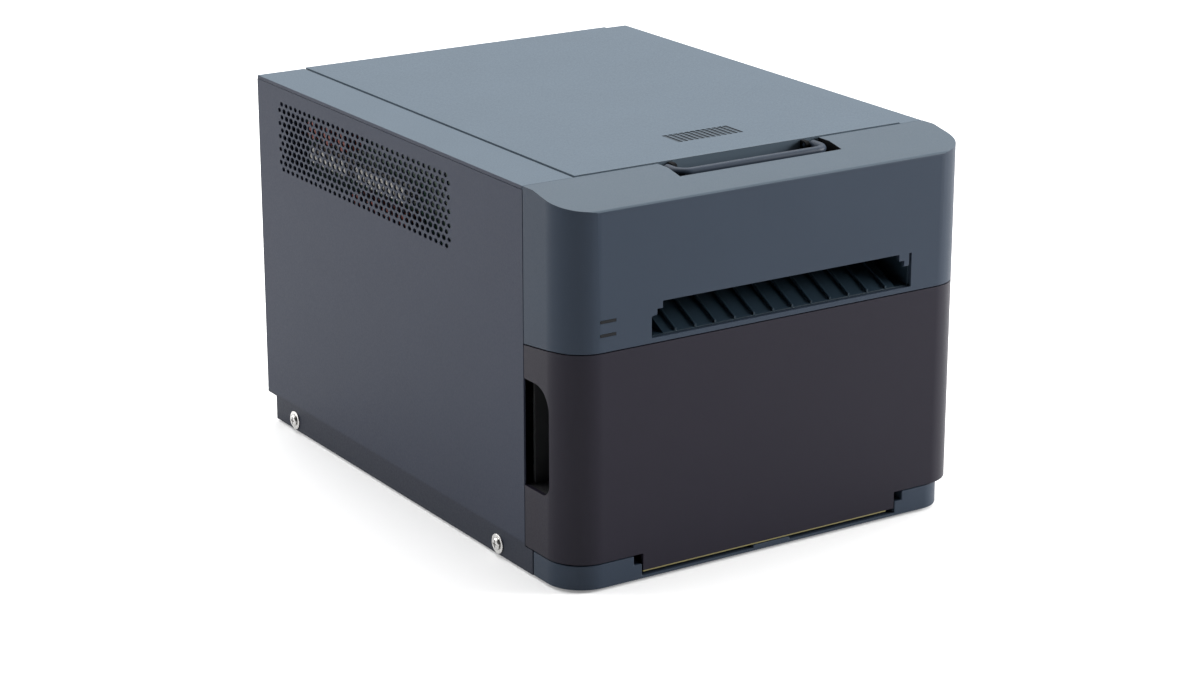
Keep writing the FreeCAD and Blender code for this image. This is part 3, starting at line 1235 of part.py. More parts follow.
def make_power():
    x = ("supply_room - frame_in", "supply_room - frame_in + supply_wide")
    y = (f"({REAR} - supply_rear_gap - supply_long)", f"({REAR} - supply_rear_gap)")
    node("power_supply", block(x, y, (FLOOR_TOP, f"{FLOOR_TOP} + supply_high")))

    wide, high = "inlet_wide", "inlet_high"
    body = block((f"inlet_x - {wide} / 2", f"inlet_x + {wide} / 2"), (f"{REAR} - inlet_deep", REAR),
                 (f"inlet_z - {high} / 2", f"inlet_z + {high} / 2"))
    cavity = block((f"inlet_x - {wide} / 2 + socket_wall", f"inlet_x + {wide} / 2 - socket_wall"),
                   (f"{REAR} - inlet_deep + 2 * socket_wall", f"{REAR} + 1"),
                   (f"inlet_z - {high} / 2 + socket_wall", f"inlet_z + {high} / 2 - socket_wall"))
    pins = [block((f"inlet_x + {dx} * pin_pitch - pin_wide / 2", f"inlet_x + {dx} * pin_pitch + pin_wide / 2"),
                  (f"{REAR} - inlet_deep + socket_wall", f"{REAR} - pin_pitch"),
                  (f"inlet_z + {dz} * pin_wide / 2 - pin_high / 2",
                   f"inlet_z + {dz} * pin_wide / 2 + pin_high / 2"))
            for dx, dz in ((-1, -1), (0, 2), (1, -1))]
    node("power_inlet", fused(carved(body, cavity), *pins))

    usb = block(("usb_x - usb_side / 2", "usb_x + usb_side / 2"), (f"{REAR} - usb_deep", REAR),
                ("inlet_z - usb_side / 2", "inlet_z + usb_side / 2"))
    mouth = block(("usb_x - usb_side / 2 + 1", "usb_x + usb_side / 2 - 1"),
                  (f"{REAR} - usb_deep + 3", f"{REAR} + 1"),
                  ("inlet_z - usb_side / 2 + 1", "inlet_z + usb_side / 2 - 1"))
    blade = block(("usb_x - 2.8", "usb_x + 2.8"), (f"{REAR} - usb_deep + 2", f"{REAR} - 6"),
                  ("inlet_z - 1.6", "inlet_z + 1.6"))
    node("usb_port", fused(carved(usb, mouth), blade))

    frame = block(("switch_x - switch_wide / 2", "switch_x + switch_wide / 2"), (f"{REAR} - 16", REAR),
                  ("inlet_z - switch_high / 2", "inlet_z + switch_high / 2"))
    hollow = block(("switch_x - switch_wide / 2 + 1.5", "switch_x + switch_wide / 2 - 1.5"),
                   (f"{REAR} - 12", f"{REAR} + 1"),
                   ("inlet_z - switch_high / 2 + 1.5", "inlet_z + switch_high / 2 - 1.5"))
    axis = (f"{REAR} - 7", "inlet_z")
    bore = rod("X", ("switch_x - switch_wide / 2", "switch_x + switch_wide / 2"), axis, "1 + run_gap")
    node("switch_frame", carved(frame, hollow, bore))
    rocker = padded("X", ("switch_x - switch_wide / 2 + 2", "switch_x + switch_wide / 2 - 2"),
                    [(f"{REAR} - 9", "inlet_z - 3"), (f"{REAR} - 9", "inlet_z + 3"),
                     (f"{REAR} - 1", "inlet_z + 6.8"), (f"{REAR} - 3", "inlet_z"),
                     (f"{REAR} - 1", "inlet_z - 6.8")])
    pin = rod("X", ("switch_x - switch_wide / 2 + 0.6", "switch_x + switch_wide / 2 - 0.6"), axis, "1")
    node("power_rocker", fused(rocker, pin))


def make_fan():
    y = (f"({REAR_IN} - fan_thick)", REAR_IN)
    half = "fan_side / 2"
    case = block((f"fan_x - {half}", f"fan_x + {half}"), y, (f"fan_z - {half}", f"fan_z + {half}"))
    bore = rod("Y", y, FAN_AT, "fan_bore")
    web_y = (y[0], f"{y[0]} + 2.5")
    hub = rod("Y", web_y, FAN_AT, "fan_hub")
    struts = [block((f"fan_x - {half} + 1", f"fan_x + {half} - 1"), web_y, ("fan_z - 1.5", "fan_z + 1.5")),
              block(("fan_x - 1.5", "fan_x + 1.5"), web_y, (f"fan_z - {half} + 1", f"fan_z + {half} - 1"))]
    pin = rod("Y", (y[0], f"{y[1]} - 3"), FAN_AT, "fan_pin")
    node("fan_case", fused(carved(case, bore), hub, *struts, pin))

    rotor_y = (f"({web_y[1]} + side_gap)", f"({y[1]} - 2)")
    cap = rod("Y", rotor_y, FAN_AT, "fan_hub")
    blades = []
    count = int(SIZES["blade_count"])
    for i in range(count):
        blade = doc.addObject("Part::Box", "fan_blade")
        bind(blade, "Length", "fan_bore - fan_tip_gap - fan_hub + 2")
        bind(blade, "Width", "9")
        bind(blade, "Height", "1.2")
        turn = FreeCAD.Rotation(VEC(0, 1, 0), 360 * i / count)
        pitch = FreeCAD.Rotation(VEC(1, 0, 0), 32)
        middle = turn.multVec(VEC(1, 0, 0))
        blade.Placement = FreeCAD.Placement(VEC(), turn.multiply(pitch))
        place(blade, f"fan_x + ({middle.x:.6f}) * (fan_hub - 2)", f"{rotor_y[0]} + 1",
              f"fan_z + ({middle.z:.6f}) * (fan_hub - 2)")
        blades.append(blade)
    ring = rod("Y", rotor_y, FAN_AT, "fan_bore - fan_tip_gap")
    node("fan_rotor", carved(shared(fused(cap, *blades), ring), rod("Y", (y[0], y[1]), FAN_AT, "fan_pin + run_gap")))


# ---------------------------------------------------------------- build and write
make_base()
make_front_base()
make_side_covers()
make_cover_screws()
make_rear_panel()
make_top_frame()
make_upper_front_cover()
make_exit_chute()
make_lid()
make_hinge_brackets()
make_lid_handle()
make_frames()
make_bushes()
make_rollers()
make_gears()
make_motor()
make_head()
make_ribbon()
make_cutter()
make_drawer_front()
make_drawer_tray()
make_paper_roll()
make_boards()
make_power()
make_fan()
doc.recompute()

for item in doc.Objects:
    if "Invalid" in item.State or "Error" in item.State:
        raise RuntimeError(f"{item.Label} did not build: {item.State}")
for item in NODES:
    if item.Shape.isNull() or not item.Shape.isValid():
        raise RuntimeError(f"{item.Label} has no valid shape")

os.makedirs("parts", exist_ok=True)
for item in NODES:
    item.Shape.exportStep(f"parts/{item.Label}.step")
print(len(NODES), "nodes written")
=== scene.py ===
"""Compact photo printer: the moulded and turned pieces, their finishes and a small studio."""
import json
import math

import bmesh
import bpy
from bpy.props import FloatProperty, FloatVectorProperty, PointerProperty
from mathutils import Matrix, Vector

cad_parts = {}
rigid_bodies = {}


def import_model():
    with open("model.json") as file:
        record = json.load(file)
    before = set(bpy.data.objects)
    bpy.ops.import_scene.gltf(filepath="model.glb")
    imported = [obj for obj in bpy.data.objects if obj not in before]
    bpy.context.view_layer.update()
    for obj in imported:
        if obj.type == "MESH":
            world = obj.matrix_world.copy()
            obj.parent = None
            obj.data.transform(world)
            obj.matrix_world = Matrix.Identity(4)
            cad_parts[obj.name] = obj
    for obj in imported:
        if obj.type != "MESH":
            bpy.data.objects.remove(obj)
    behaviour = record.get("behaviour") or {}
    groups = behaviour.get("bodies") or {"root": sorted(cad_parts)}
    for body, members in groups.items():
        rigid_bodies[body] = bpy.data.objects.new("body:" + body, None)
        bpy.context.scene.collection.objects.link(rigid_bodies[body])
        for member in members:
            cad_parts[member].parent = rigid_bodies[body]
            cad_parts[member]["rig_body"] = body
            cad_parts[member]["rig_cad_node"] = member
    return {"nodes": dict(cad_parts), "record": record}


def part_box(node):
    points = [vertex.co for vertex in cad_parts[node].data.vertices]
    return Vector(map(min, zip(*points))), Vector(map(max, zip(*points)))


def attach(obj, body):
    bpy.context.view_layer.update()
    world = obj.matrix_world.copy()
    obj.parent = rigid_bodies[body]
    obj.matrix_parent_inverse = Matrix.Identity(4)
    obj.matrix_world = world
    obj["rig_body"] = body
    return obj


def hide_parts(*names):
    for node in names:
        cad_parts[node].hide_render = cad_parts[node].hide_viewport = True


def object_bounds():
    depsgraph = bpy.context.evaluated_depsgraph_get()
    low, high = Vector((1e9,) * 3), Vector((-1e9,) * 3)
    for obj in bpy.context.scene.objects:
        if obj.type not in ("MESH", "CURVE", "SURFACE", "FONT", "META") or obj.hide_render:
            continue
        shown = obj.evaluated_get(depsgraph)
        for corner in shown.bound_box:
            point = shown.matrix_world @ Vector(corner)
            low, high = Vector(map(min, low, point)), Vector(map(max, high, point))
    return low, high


bl_info = {
    "name": "Compact Photo Printer",
    "version": (1, 0, 0),
    "blender": (4, 5, 0),
    "location": "View3D > Sidebar > Photo Printer",
    "description": "Models the covers, pull bar and screws of a compact photo printer and finishes it",
    "category": "Object",
}

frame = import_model()
cad_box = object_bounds()
MM = 0.001
SMOOTH_ANGLE = math.radians(30)         # edges flatter than this are shaded smooth
MOULD_ANGLE = math.radians(32)          # edges sharper than this are rounded in the mould
SMALL_PART_ANGLE = math.radians(60)     # the same on the pull bar, screws and washers


# ---------------------------------------------------------------- settings
class PrinterSizes(bpy.types.PropertyGroup):
    """Sizes of what is modelled here, the camera and the studio's light.

    The casing's own sizes come from the frame.
    """
    edge: FloatProperty(
        name="Moulded edge", description="Radius on the outer edges of the moulded covers",
        default=0.0010, min=0.0001, max=0.002, unit="LENGTH")
    lid_edge: FloatProperty(
        name="Lid edge", description="Radius on the edges of the lid and the strips beside it",
        default=0.0006, min=0.0001, max=0.001, unit="LENGTH")
    bar_bend: FloatProperty(
        name="Pull bar bend", description="Radius of the two bends of the pull bar, at its middle line",
        default=0.0075, min=0.003, max=0.012, unit="LENGTH")
    sill: FloatProperty(
        name="Exit sill", description="Chamfer on the lower edge of the print exit",
        default=0.0016, min=0.0002, max=0.002, unit="LENGTH")
    washer_rim: FloatProperty(
        name="Washer rim", description="How far a washer's stamped rim reaches past its plain size",
        default=0.0009, min=0.0, max=0.0015, unit="LENGTH")
    vent_stretch: FloatProperty(
        name="Vent stretch", description="Length of a vent hole along the cover over its height",
        default=1.34, min=1.0, max=1.5)
    vent_long: FloatProperty(
        name="Vent length", description="Length of a vent hole over the solid's round hole",
        default=1.38, min=1.0, max=1.5)
    # Below this height the coat is drawn darker: painted shade along the cover's foot.
    shade_band_height: FloatProperty(
        name="Fold height", description="Height of the fold along the foot of a side cover",
        default=0.0186, min=0.0, max=0.1, unit="LENGTH")
    screw_dome: FloatProperty(
        name="Screw dome", description="Height of a cover screw's head above its washer",
        default=0.0015, min=0.001, max=0.003, unit="LENGTH")
    camera_distance: FloatProperty(
        name="Camera distance", description="From the middle of the printer to the camera",
        default=1.8665, min=0.8, max=5.0, unit="LENGTH")
    camera_azimuth: FloatProperty(
        name="Camera azimuth", description="Turn of the camera round the printer, 0 is in front",
        default=math.radians(-32.8), unit="ROTATION")
    camera_elevation: FloatProperty(
        name="Camera elevation", description="Height of the camera as an angle over the floor",
        default=math.radians(16.9), unit="ROTATION")
    camera_drop: FloatProperty(
        name="Camera drop", description="How far below the printer's middle the camera aims",
        default=0.037, min=0.0, max=0.2, unit="LENGTH")
    camera_lens: FloatProperty(
        name="Lens", description="Focal length on a 36 mm wide sensor",
        default=90.0, min=20.0, max=250.0)
    ceiling: FloatProperty(
        name="Ceiling", description="Brightness of the studio's lit ceiling",
        default=4.4, min=0.0, max=10.0)
    walls: FloatProperty(
        name="Walls", description="Brightness of the studio's walls",
        default=0.30, min=0.0, max=10.0)
    dark_side: FloatProperty(
        name="Dark side", description="Share of the light that comes from behind the camera",
        default=0.04, min=0.0, max=1.0, subtype="FACTOR")


class PrinterColours(bpy.types.PropertyGroup):
    """Paint and plastic colours, as sRGB."""
    side: FloatVectorProperty(
        name="Side covers", description="Powder coat of the steel covers",
        subtype="COLOR_GAMMA", size=3, min=0.0, max=1.0, default=(0.166, 0.184, 0.232))
    top: FloatVectorProperty(
        name="Lid", description="Moulded plastic of the lid and its strips",
        subtype="COLOR_GAMMA", size=3, min=0.0, max=1.0, default=(0.286, 0.334, 0.376))
    front: FloatVectorProperty(
        name="Front cover", description="Moulded plastic of the upper front cover and the base",
        subtype="COLOR_GAMMA", size=3, min=0.0, max=1.0, default=(0.160, 0.194, 0.240))
    drawer: FloatVectorProperty(
        name="Drawer", description="Moulded plastic of the paper drawer's front",
        subtype="COLOR_GAMMA", size=3, min=0.0, max=1.0, default=(0.106, 0.098, 0.134))
    ramp: FloatVectorProperty(
        name="Exit ramp", description="Moulded plastic of the ribbed ramp behind the print exit",
        subtype="COLOR_GAMMA", size=3, min=0.0, max=1.0, default=(0.105, 0.150, 0.185))
    strip: FloatVectorProperty(
        name="Edge strip", description="Thin coloured strip under the drawer",
        subtype="COLOR_GAMMA", size=3, min=0.0, max=1.0, default=(0.40, 0.37, 0.20))
    floor: FloatVectorProperty(
        name="Floor", description="Studio floor and background",
        subtype="COLOR_GAMMA", size=3, min=0.0, max=1.0, default=(0.86, 0.86, 0.86))


def sizes():
    """The sizes as they are set now."""
    return bpy.context.scene.printer_sizes


def colours():
    """The colours as they are set now."""
    return bpy.context.scene.printer_colours


def axis_of(joint_name):
    """A point on a joint's axis, from the frame."""
    joints = frame["record"]["behaviour"]["joints"]
    return Vector(next(joint["pos_m"] for joint in joints if joint["name"] == joint_name))


# ---------------------------------------------------------------- colour and node helpers
def linear(srgb):
    """sRGB channels, 0 to 1, or a hex value such as "8A7F70", as linear RGBA."""
    if isinstance(srgb, str):
        srgb = [int(srgb[i:i + 2], 16) / 255 for i in (0, 2, 4)]
    flat = [c / 12.92 if c <= 0.04045 else ((c + 0.055) / 1.055) ** 2.4 for c in srgb]
    return (*flat, 1.0)


def add(tree, kind, settings=None, links=None):
    """One node with its settings and the sockets that feed it."""
    made = tree.nodes.new(kind)
    for name, value in (settings or {}).items():
        if isinstance(name, int) or name in made.inputs:
            made.inputs[name].default_value = value
        else:
            setattr(made, name, value)
    for name, source in (links or {}).items():
        tree.links.new(source, made.inputs[name])
    return made


def new_material(name, roughness, metallic=0.0, ior=None, **sockets):
    """An empty material with its shader; sockets are plain values of the shader."""
    made = bpy.data.materials.new(name)
    made.use_nodes = True
    tree = made.node_tree
    shader = tree.nodes["Principled BSDF"]
    shader.inputs["Roughness"].default_value = roughness
    shader.inputs["Metallic"].default_value = metallic
    if ior:
        shader.inputs["IOR"].default_value = ior
    for socket, value in sockets.items():
        shader.inputs[socket].default_value = value
    place = add(tree, "ShaderNodeTexCoord").outputs["Object"]
    return made, tree, shader, place


def grained(name, colour, roughness, grain, depth, drift=0.10, stretch=(1, 1, 1),
            metallic=0.0, ior=None, spread=0.06, **sockets):
    """A surface of one colour with a fine relief.

    grain is the width of one grain of the relief and depth its height, in millimetres.
    drift is how far the colour wanders over a few centimetres, spread how far the
    roughness does. stretch draws the grain out along an axis.
    """
    made, tree, shader, place = new_material(name, roughness, metallic, ior, **sockets)
    aligned = add(tree, "ShaderNodeMapping", {"Scale": stretch}, {"Vector": place})
    cloud = add(tree, "ShaderNodeTexNoise", {"Scale": 22.0, "Detail": 4.0, "Roughness": 0.55},
                {"Vector": place})
    fine = add(tree, "ShaderNodeTexNoise",
               {"Scale": 1.0 / (grain * MM), "Detail": 2.0, "Roughness": 0.5},
               {"Vector": aligned.outputs["Vector"]})
    base = linear(colour)
    low = tuple(c * (1 - drift) for c in base[:3]) + (1.0,)
    high = tuple(min(1.0, c * (1 + drift)) for c in base[:3]) + (1.0,)
    mix = add(tree, "ShaderNodeMix", {"data_type": "RGBA", 6: low, 7: high},
              {0: cloud.outputs["Fac"]})
    tree.links.new(mix.outputs[2], shader.inputs["Base Color"])
    rough = add(tree, "ShaderNodeMapRange",
                {"From Min": 0.3, "From Max": 0.7,
                 "To Min": roughness - spread, "To Max": roughness + spread},
                {"Value": fine.outputs["Fac"]})
    tree.links.new(rough.outputs["Result"], shader.inputs["Roughness"])
    bump = add(tree, "ShaderNodeBump", {"Strength": 1.0, "Distance": depth * MM},
               {"Height": fine.outputs["Fac"]})
    tree.links.new(bump.outputs["Normal"], shader.inputs["Normal"])
    return made


# ---------------------------------------------------------------- finishes
def make_finishes():
    """Every finish of the printer, by the name that the pieces use."""
    paint = colours()
    made = {}
    # The grain of the covers scatters part of what a flat face of the same stuff would mirror.
    matt = {"Specular IOR Level": 0.1}
    # Powder coat, baked on steel sheet: satin, with a fine orange peel that softens reflections.
    # A real peel is about 0.6 mm wide; it is drawn 1.1 mm wide so that it shows.
    made["coat"] = grained("powder coat on steel sheet", paint.side, 0.46, 1.1, 0.035,
                           drift=0.05, ior=1.5, **matt)
    # The coat is drawn darker below the fold: painted shade.
    paint_shade_below_fold(made["coat"], sizes().shade_band_height)
    # ABS moulded in a spark-eroded tool: an even matt grain that breaks up the highlight.
    made["top"] = grained("spark-eroded ABS, lid", paint.top, 0.44, 0.9, 0.030,
                          drift=0.05, ior=1.53, **matt)
    made["front"] = grained("spark-eroded ABS, front cover", paint.front, 0.42, 0.9, 0.028,
                            drift=0.05, ior=1.53, **matt)
    # The drawer is moulded in a browner ABS, a shade glossier from handling.
    made["drawer"] = grained("spark-eroded ABS, drawer", paint.drawer, 0.40, 0.9, 0.025,
                             drift=0.06, ior=1.53, **matt)
    made["ramp"] = grained("polished ABS, exit ramp", paint.ramp, 0.36, 0.9, 0.015,
                           drift=0.05, ior=1.53, **matt)
    # The bottoms of the grip's grooves are drawn darker than the lid: painted shade in the grooves.
    groove_shade_tone = [channel * 0.72 for channel in paint.top]
    made["groove"] = grained("ABS, grip grooves drawn darker", groove_shade_tone, 0.60, 0.9, 0.03,
                             drift=0.10, ior=1.53, **matt)
    # The front cover's sloping top is drawn lighter than the rest of the cover, near the lid's tone:
    # painted light from above.
    painted = [channel * 0.9 for channel in paint.top]
    made["ledge"] = grained("ABS cover top, drawn lighter for the top light", painted, 0.50, 0.8, 0.02,
                            drift=0.06, ior=1.53, **matt)
    # Near-black painted shade, laid where shade falls: in the well, in the joints and on the lugs.
    made["painted_shade"] = grained("near-black for painted shade", "0A0B0D", 0.85, 0.5, 0.04, drift=0.15,
                             **{"Specular IOR Level": 0.08})
    # Black ABS: inlet, rocker, fan, spools, motor and the cups of the drawer.
    made["black"] = grained("black moulded ABS", "17181A", 0.48, 0.8, 0.03, ior=1.53)
    # Acetal: waxy, slightly see-through white plastic of gears and bearings.
    made["acetal"] = grained("moulded acetal", "DAD8CF", 0.38, 1.2, 0.015, drift=0.03, ior=1.48,
                             **{"Subsurface Weight": 0.15, "Subsurface Scale": 0.002})
    made["socket"] = grained("moulded nylon connector", "BDBBB4", 0.45, 0.8, 0.02,
                             drift=0.05, ior=1.53)
    made["strip"] = grained("coloured polypropylene strip", paint.strip, 0.40, 0.8, 0.01,
                            drift=0.05, ior=1.49)
    # Zinc on steel sheet: grey, with a faint rolled grain along the sheet.
    made["zinc"] = grained("zinc-plated steel sheet", "A9ABAD", 0.36, 0.9, 0.012, drift=0.10,
                           stretch=(1, 0.08, 1), metallic=1.0, spread=0.10)
    # Nickel-plated screws and ground shafts: bright, with fine turning marks.
    made["bright"] = grained("nickel-plated steel", "C9C8C6", 0.24, 0.5, 0.006, drift=0.06,
                             stretch=(6, 1, 1), metallic=1.0, spread=0.07)
    made["blade"] = grained("ground tool steel", "B9BCBF", 0.28, 0.4, 0.006, drift=0.05,
                            stretch=(1, 1, 8), metallic=1.0, spread=0.06)
    # Extruded aluminium, unfinished: pale with drawn lines along the fins.
    made["alloy"] = grained("extruded aluminium", "C4C6C8", 0.34, 0.7, 0.012, drift=0.06,
                            stretch=(1, 0.1, 1), metallic=1.0, spread=0.08)
    made["brass"] = grained("turned brass", "C2A24F", 0.30, 0.5, 0.006, drift=0.06,
                            metallic=1.0, spread=0.06)
    # Nitrile rubber: very matt, dusty black.
    made["rubber"] = grained("nitrile rubber", "1B1B1C", 0.72, 0.9, 0.05, drift=0.15, ior=1.52)
    made["coil"] = grained("varnished coil", "7A3322", 0.38, 0.5, 0.05, drift=0.2,
                           stretch=(6, 1, 1), ior=1.5)
    # Smoked polycarbonate light pipes: nearly black when unlit.
    made["lens"] = grained("polycarbonate light pipe", "0E1013", 0.50, 1.5, 0.004, drift=0.04,
                           ior=1.58, spread=0.03, **matt)
    made["paper"] = paper_finish()
    made["ribbon"] = ribbon_finish()
    made["board"] = board_finish()
    return made


def paint_shade_below_fold(made, height):
    """Paint shade into the coat below the fold along a cover's foot: the coat is drawn darker there."""
    tree = made.node_tree
    shader = tree.nodes["Principled BSDF"]
    colour = shader.inputs["Base Color"].links[0].from_socket
    place = add(tree, "ShaderNodeTexCoord").outputs["Object"]
    split = add(tree, "ShaderNodeSeparateXYZ", None, {"Vector": place})
    # Painted shade: full colour above the fold, down to 0.66 of it below.
    tone = add(tree, "ShaderNodeMapRange",
               {"From Min": height - 1.5 * MM, "From Max": height + 1.0 * MM, "To Min": 0.66,
                "To Max": 1.0, "interpolation_type": "SMOOTHSTEP"}, {"Value": split.outputs["Z"]})
    mix = add(tree, "ShaderNodeMix", {"data_type": "RGBA", "blend_type": "MULTIPLY", 0: 1.0},
              {6: colour, 7: tone.outputs["Result"]})
    tree.links.new(mix.outputs[2], shader.inputs["Base Color"])


def paper_finish():
    """Resin-coated photo paper wound on a roll: a smooth white face, fine rings at the ends."""
    made, tree, shader, place = new_material("resin-coated photo paper", 0.32, ior=1.5)
    # One turn of paper is 0.25 mm thick; every third is drawn.
    drawn_turn = 3 * 0.25 * MM
    turned = add(tree, "ShaderNodeMapping", {"Location": -axis_of("roll_spin")},
                 {"Vector": place})
    flat = add(tree, "ShaderNodeVectorMath", {"operation": "MULTIPLY", 1: (0.0, 1.0, 1.0)},
               {0: turned.outputs["Vector"]})
    reach = add(tree, "ShaderNodeVectorMath", {"operation": "LENGTH"}, {0: flat.outputs[0]})
    rings = add(tree, "ShaderNodeMath", {"operation": "MULTIPLY", 1: 2 * math.pi / drawn_turn},
                {0: reach.outputs["Value"]})
    wave = add(tree, "ShaderNodeMath", {"operation": "SINE"}, {0: rings.outputs[0]})
    tone = add(tree, "ShaderNodeMapRange", {"From Min": -1.0, "From Max": 1.0},
               {"Value": wave.outputs[0]})
    mix = add(tree, "ShaderNodeMix",
              {"data_type": "RGBA", 6: linear("DEDBD2"), 7: linear("F1F0EB")},
              {0: tone.outputs["Result"]})
    tree.links.new(mix.outputs[2], shader.inputs["Base Color"])
    bump = add(tree, "ShaderNodeBump", {"Strength": 0.6, "Distance": 0.02 * MM},
               {"Height": tone.outputs["Result"]})
    tree.links.new(bump.outputs["Normal"], shader.inputs["Normal"])
    return made


def ribbon_finish():
    """Dye ribbon film: glossy, in long panels of colour one after the other."""
    made, tree, shader, place = new_material("dye ribbon film", 0.18, ior=1.6)
    turned = add(tree, "ShaderNodeMapping", {"Location": -axis_of("supply_spin")},
                 {"Vector": place})
    spun = add(tree, "ShaderNodeMapping", {"Rotation": (0.0, math.pi / 2, 0.0)},
               {"Vector": turned.outputs["Vector"]})
    bands = add(tree, "ShaderNodeTexGradient", {"gradient_type": "RADIAL"},
                {"Vector": spun.outputs["Vector"]})
    panels = add(tree, "ShaderNodeValToRGB", None, {"Fac": bands.outputs["Fac"]})
    panels.color_ramp.interpolation = "CONSTANT"
    yellow, magenta = panels.color_ramp.elements
    yellow.color = linear("8E7A1E")
    magenta.position = 0.33
    magenta.color = linear("6E1E3C")
    cyan = panels.color_ramp.elements.new(0.66)
    cyan.color = linear("16455E")
    tree.links.new(panels.outputs["Color"], shader.inputs["Base Color"])
    return made


def board_finish():
    """Circuit board: green solder mask over fine copper tracks that run along it."""
    made, tree, shader, place = new_material("fibreglass circuit board", 0.34, ior=1.55)
    upright = add(tree, "ShaderNodeMapping", {"Rotation": (0.0, math.pi / 2, 0.0)},
                  {"Vector": place})
    tracks = add(tree, "ShaderNodeTexBrick",
                 {"Scale": 1.0, "Mortar Size": 0.48 * MM, "Brick Width": 14 * MM,
                  "Row Height": 1.6 * MM, "Color1": linear("173A28"), "Color2": linear("1A422D"),
                  "Mortar": linear("102C1D")}, {"Vector": upright.outputs["Vector"]})
    tree.links.new(tracks.outputs["Color"], shader.inputs["Base Color"])
    bump = add(tree, "ShaderNodeBump", {"Strength": 0.5, "Distance": 0.03 * MM},
               {"Height": tracks.outputs["Fac"]})
    tree.links.new(bump.outputs["Normal"], shader.inputs["Normal"])
    return made


# The finish of each node that keeps the solid's own shape.
FINISH_OF = {
    "coat": "rear_panel",
    "front": "switch_frame",
    "drawer": "drawer_tray",
    "strip": "edge_strip",
    "lens": "status_lenses",
    "zinc": "base_plate left_frame right_frame front_stay rear_stay drawer_rails hinge_brackets "
            "head_arm motor_bracket power_supply",
    "bright": "hinge_pins platen_shaft capstan_roller pinch_roller head_pivot_shaft "
              "idler_pin_stud usb_port",
    "blade": "cutter_rail cutter_wheel fixed_blade",
    "brass": "board_standoffs motor_pinion",
    "acetal": "shaft_bushes roll_flanges capstan_gear idler_gear cutter_carriage",
    "socket": "board_sockets",
    "alloy": "heat_sink",
    "black": "finger_cups power_inlet power_rocker fan_case fan_rotor supply_spool takeup_spool "
             "thermal_head feed_motor",
    "rubber": "rubber_feet platen_rubber",
    "paper": "paper_roll",
    "ribbon": "ribbon_roll",
    "board": "main_board",
    "coil": "board_coils",
}
FINISHES = {}       # filled by the finishes step


# ---------------------------------------------------------------- modelling helpers
def only(*objects):
    """Select these objects and nothing else."""
    bpy.ops.object.select_all(action="DESELECT")
    for one in objects:
        one.select_set(True)
    bpy.context.view_layer.objects.active = objects[0]


def primitive(kind, **settings):
    """A new primitive at its place and size, with nothing else selected."""
    bpy.ops.object.select_all(action="DESELECT")
    getattr(bpy.ops.mesh, f"primitive_{kind}_add")(**settings)
    return bpy.context.view_layer.objects.active


def copied(source):
    """A copy of an object with a mesh of its own."""
    only(source)
    bpy.ops.object.duplicate()
    return bpy.context.view_layer.objects.active


def merged(pieces):
    """Several objects made one, under the first one's name."""
    only(*pieces)
    bpy.ops.object.join()
    return bpy.context.view_layer.objects.active


def settled(piece):
    """Put a piece's place, turn and size into its mesh."""
    only(piece)
    bpy.ops.object.transform_apply(location=True, rotation=True, scale=True)


def finished(piece, name, body, finish):
    """Name a piece, shade it, give it its finish and let it ride on its body."""
    piece.name = name
    piece.data.name = name
    settled(piece)
    bpy.ops.object.shade_smooth_by_angle(angle=SMOOTH_ANGLE)
    piece.data.materials.clear()
    piece.data.materials.append(FINISHES[finish])
    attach(piece, body)


def apply_modifier(piece, kind, **settings):
    """Add one modifier and apply it at once."""
    only(piece)
    made = piece.modifiers.new(kind.title(), kind)
    for name, value in settings.items():
        setattr(made, name, value)
    bpy.ops.object.modifier_apply(modifier=made.name)


def rounded(piece, width, segments, angle=SMALL_PART_ANGLE, **settings):
    """Round the edges of a piece that are sharper than angle."""
    apply_modifier(piece, "BEVEL", width=width, segments=segments, limit_method="ANGLE",
                   angle_limit=angle, **settings)


def cut(piece, cutter):
    """Take the cutter's shape out of a piece, and the cutter away."""
    apply_modifier(piece, "BOOLEAN", object=cutter, operation="DIFFERENCE", solver="EXACT")
    only(cutter)
    bpy.ops.object.delete()


def moulded_copy(node_name, flat=0.4):
    """A clean copy of a node's solid: triangles joined and flat faces made whole.

    flat is the largest turn, in degrees, between faces that become one, and 0 leaves them.
    """
    piece = copied(frame["nodes"][node_name])
    bpy.ops.object.parent_clear(type="CLEAR_KEEP_TRANSFORM")
    bpy.ops.mesh.customdata_custom_splitnormals_clear()
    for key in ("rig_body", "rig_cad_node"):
        if key in piece:
            del piece[key]
    bpy.ops.object.mode_set(mode="EDIT")
    bpy.ops.mesh.select_all(action="SELECT")
    bpy.ops.mesh.remove_doubles(threshold=0.001 * MM)
    if flat:
        bpy.ops.mesh.dissolve_limited(angle_limit=math.radians(flat))
    bpy.ops.object.mode_set(mode="OBJECT")
    return piece


def softened(node_name, name, body, finish, width, before=None):
    """A node's shape with its sharp edges rounded as a mould rounds them.

    before is a step that shapes the copy while its edges are still sharp.
    """
    piece = moulded_copy(node_name)
    if before:
        before(piece)
    rounded(piece, width, 2, MOULD_ANGLE, loop_slide=False, miter_outer="MITER_SHARP")
    finished(piece, name, body, finish)
    apply_modifier(piece, "WEIGHTED_NORMAL", keep_sharp=True, weight=70)
    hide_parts(node_name)
    return piece


def repainted(piece, finish, wanted):
    """Give the faces that wanted(middle, normal) picks another finish."""
    piece.data.materials.append(FINISHES[finish])
    for face in piece.data.polygons:
        if wanted(face.center, face.normal):
            face.material_index = len(piece.data.materials) - 1


# ---------------------------------------------------------------- pieces
class PieceOperator(bpy.types.Operator):
    """One step of the printer, which can be undone."""
    bl_options = {"REGISTER", "UNDO"}


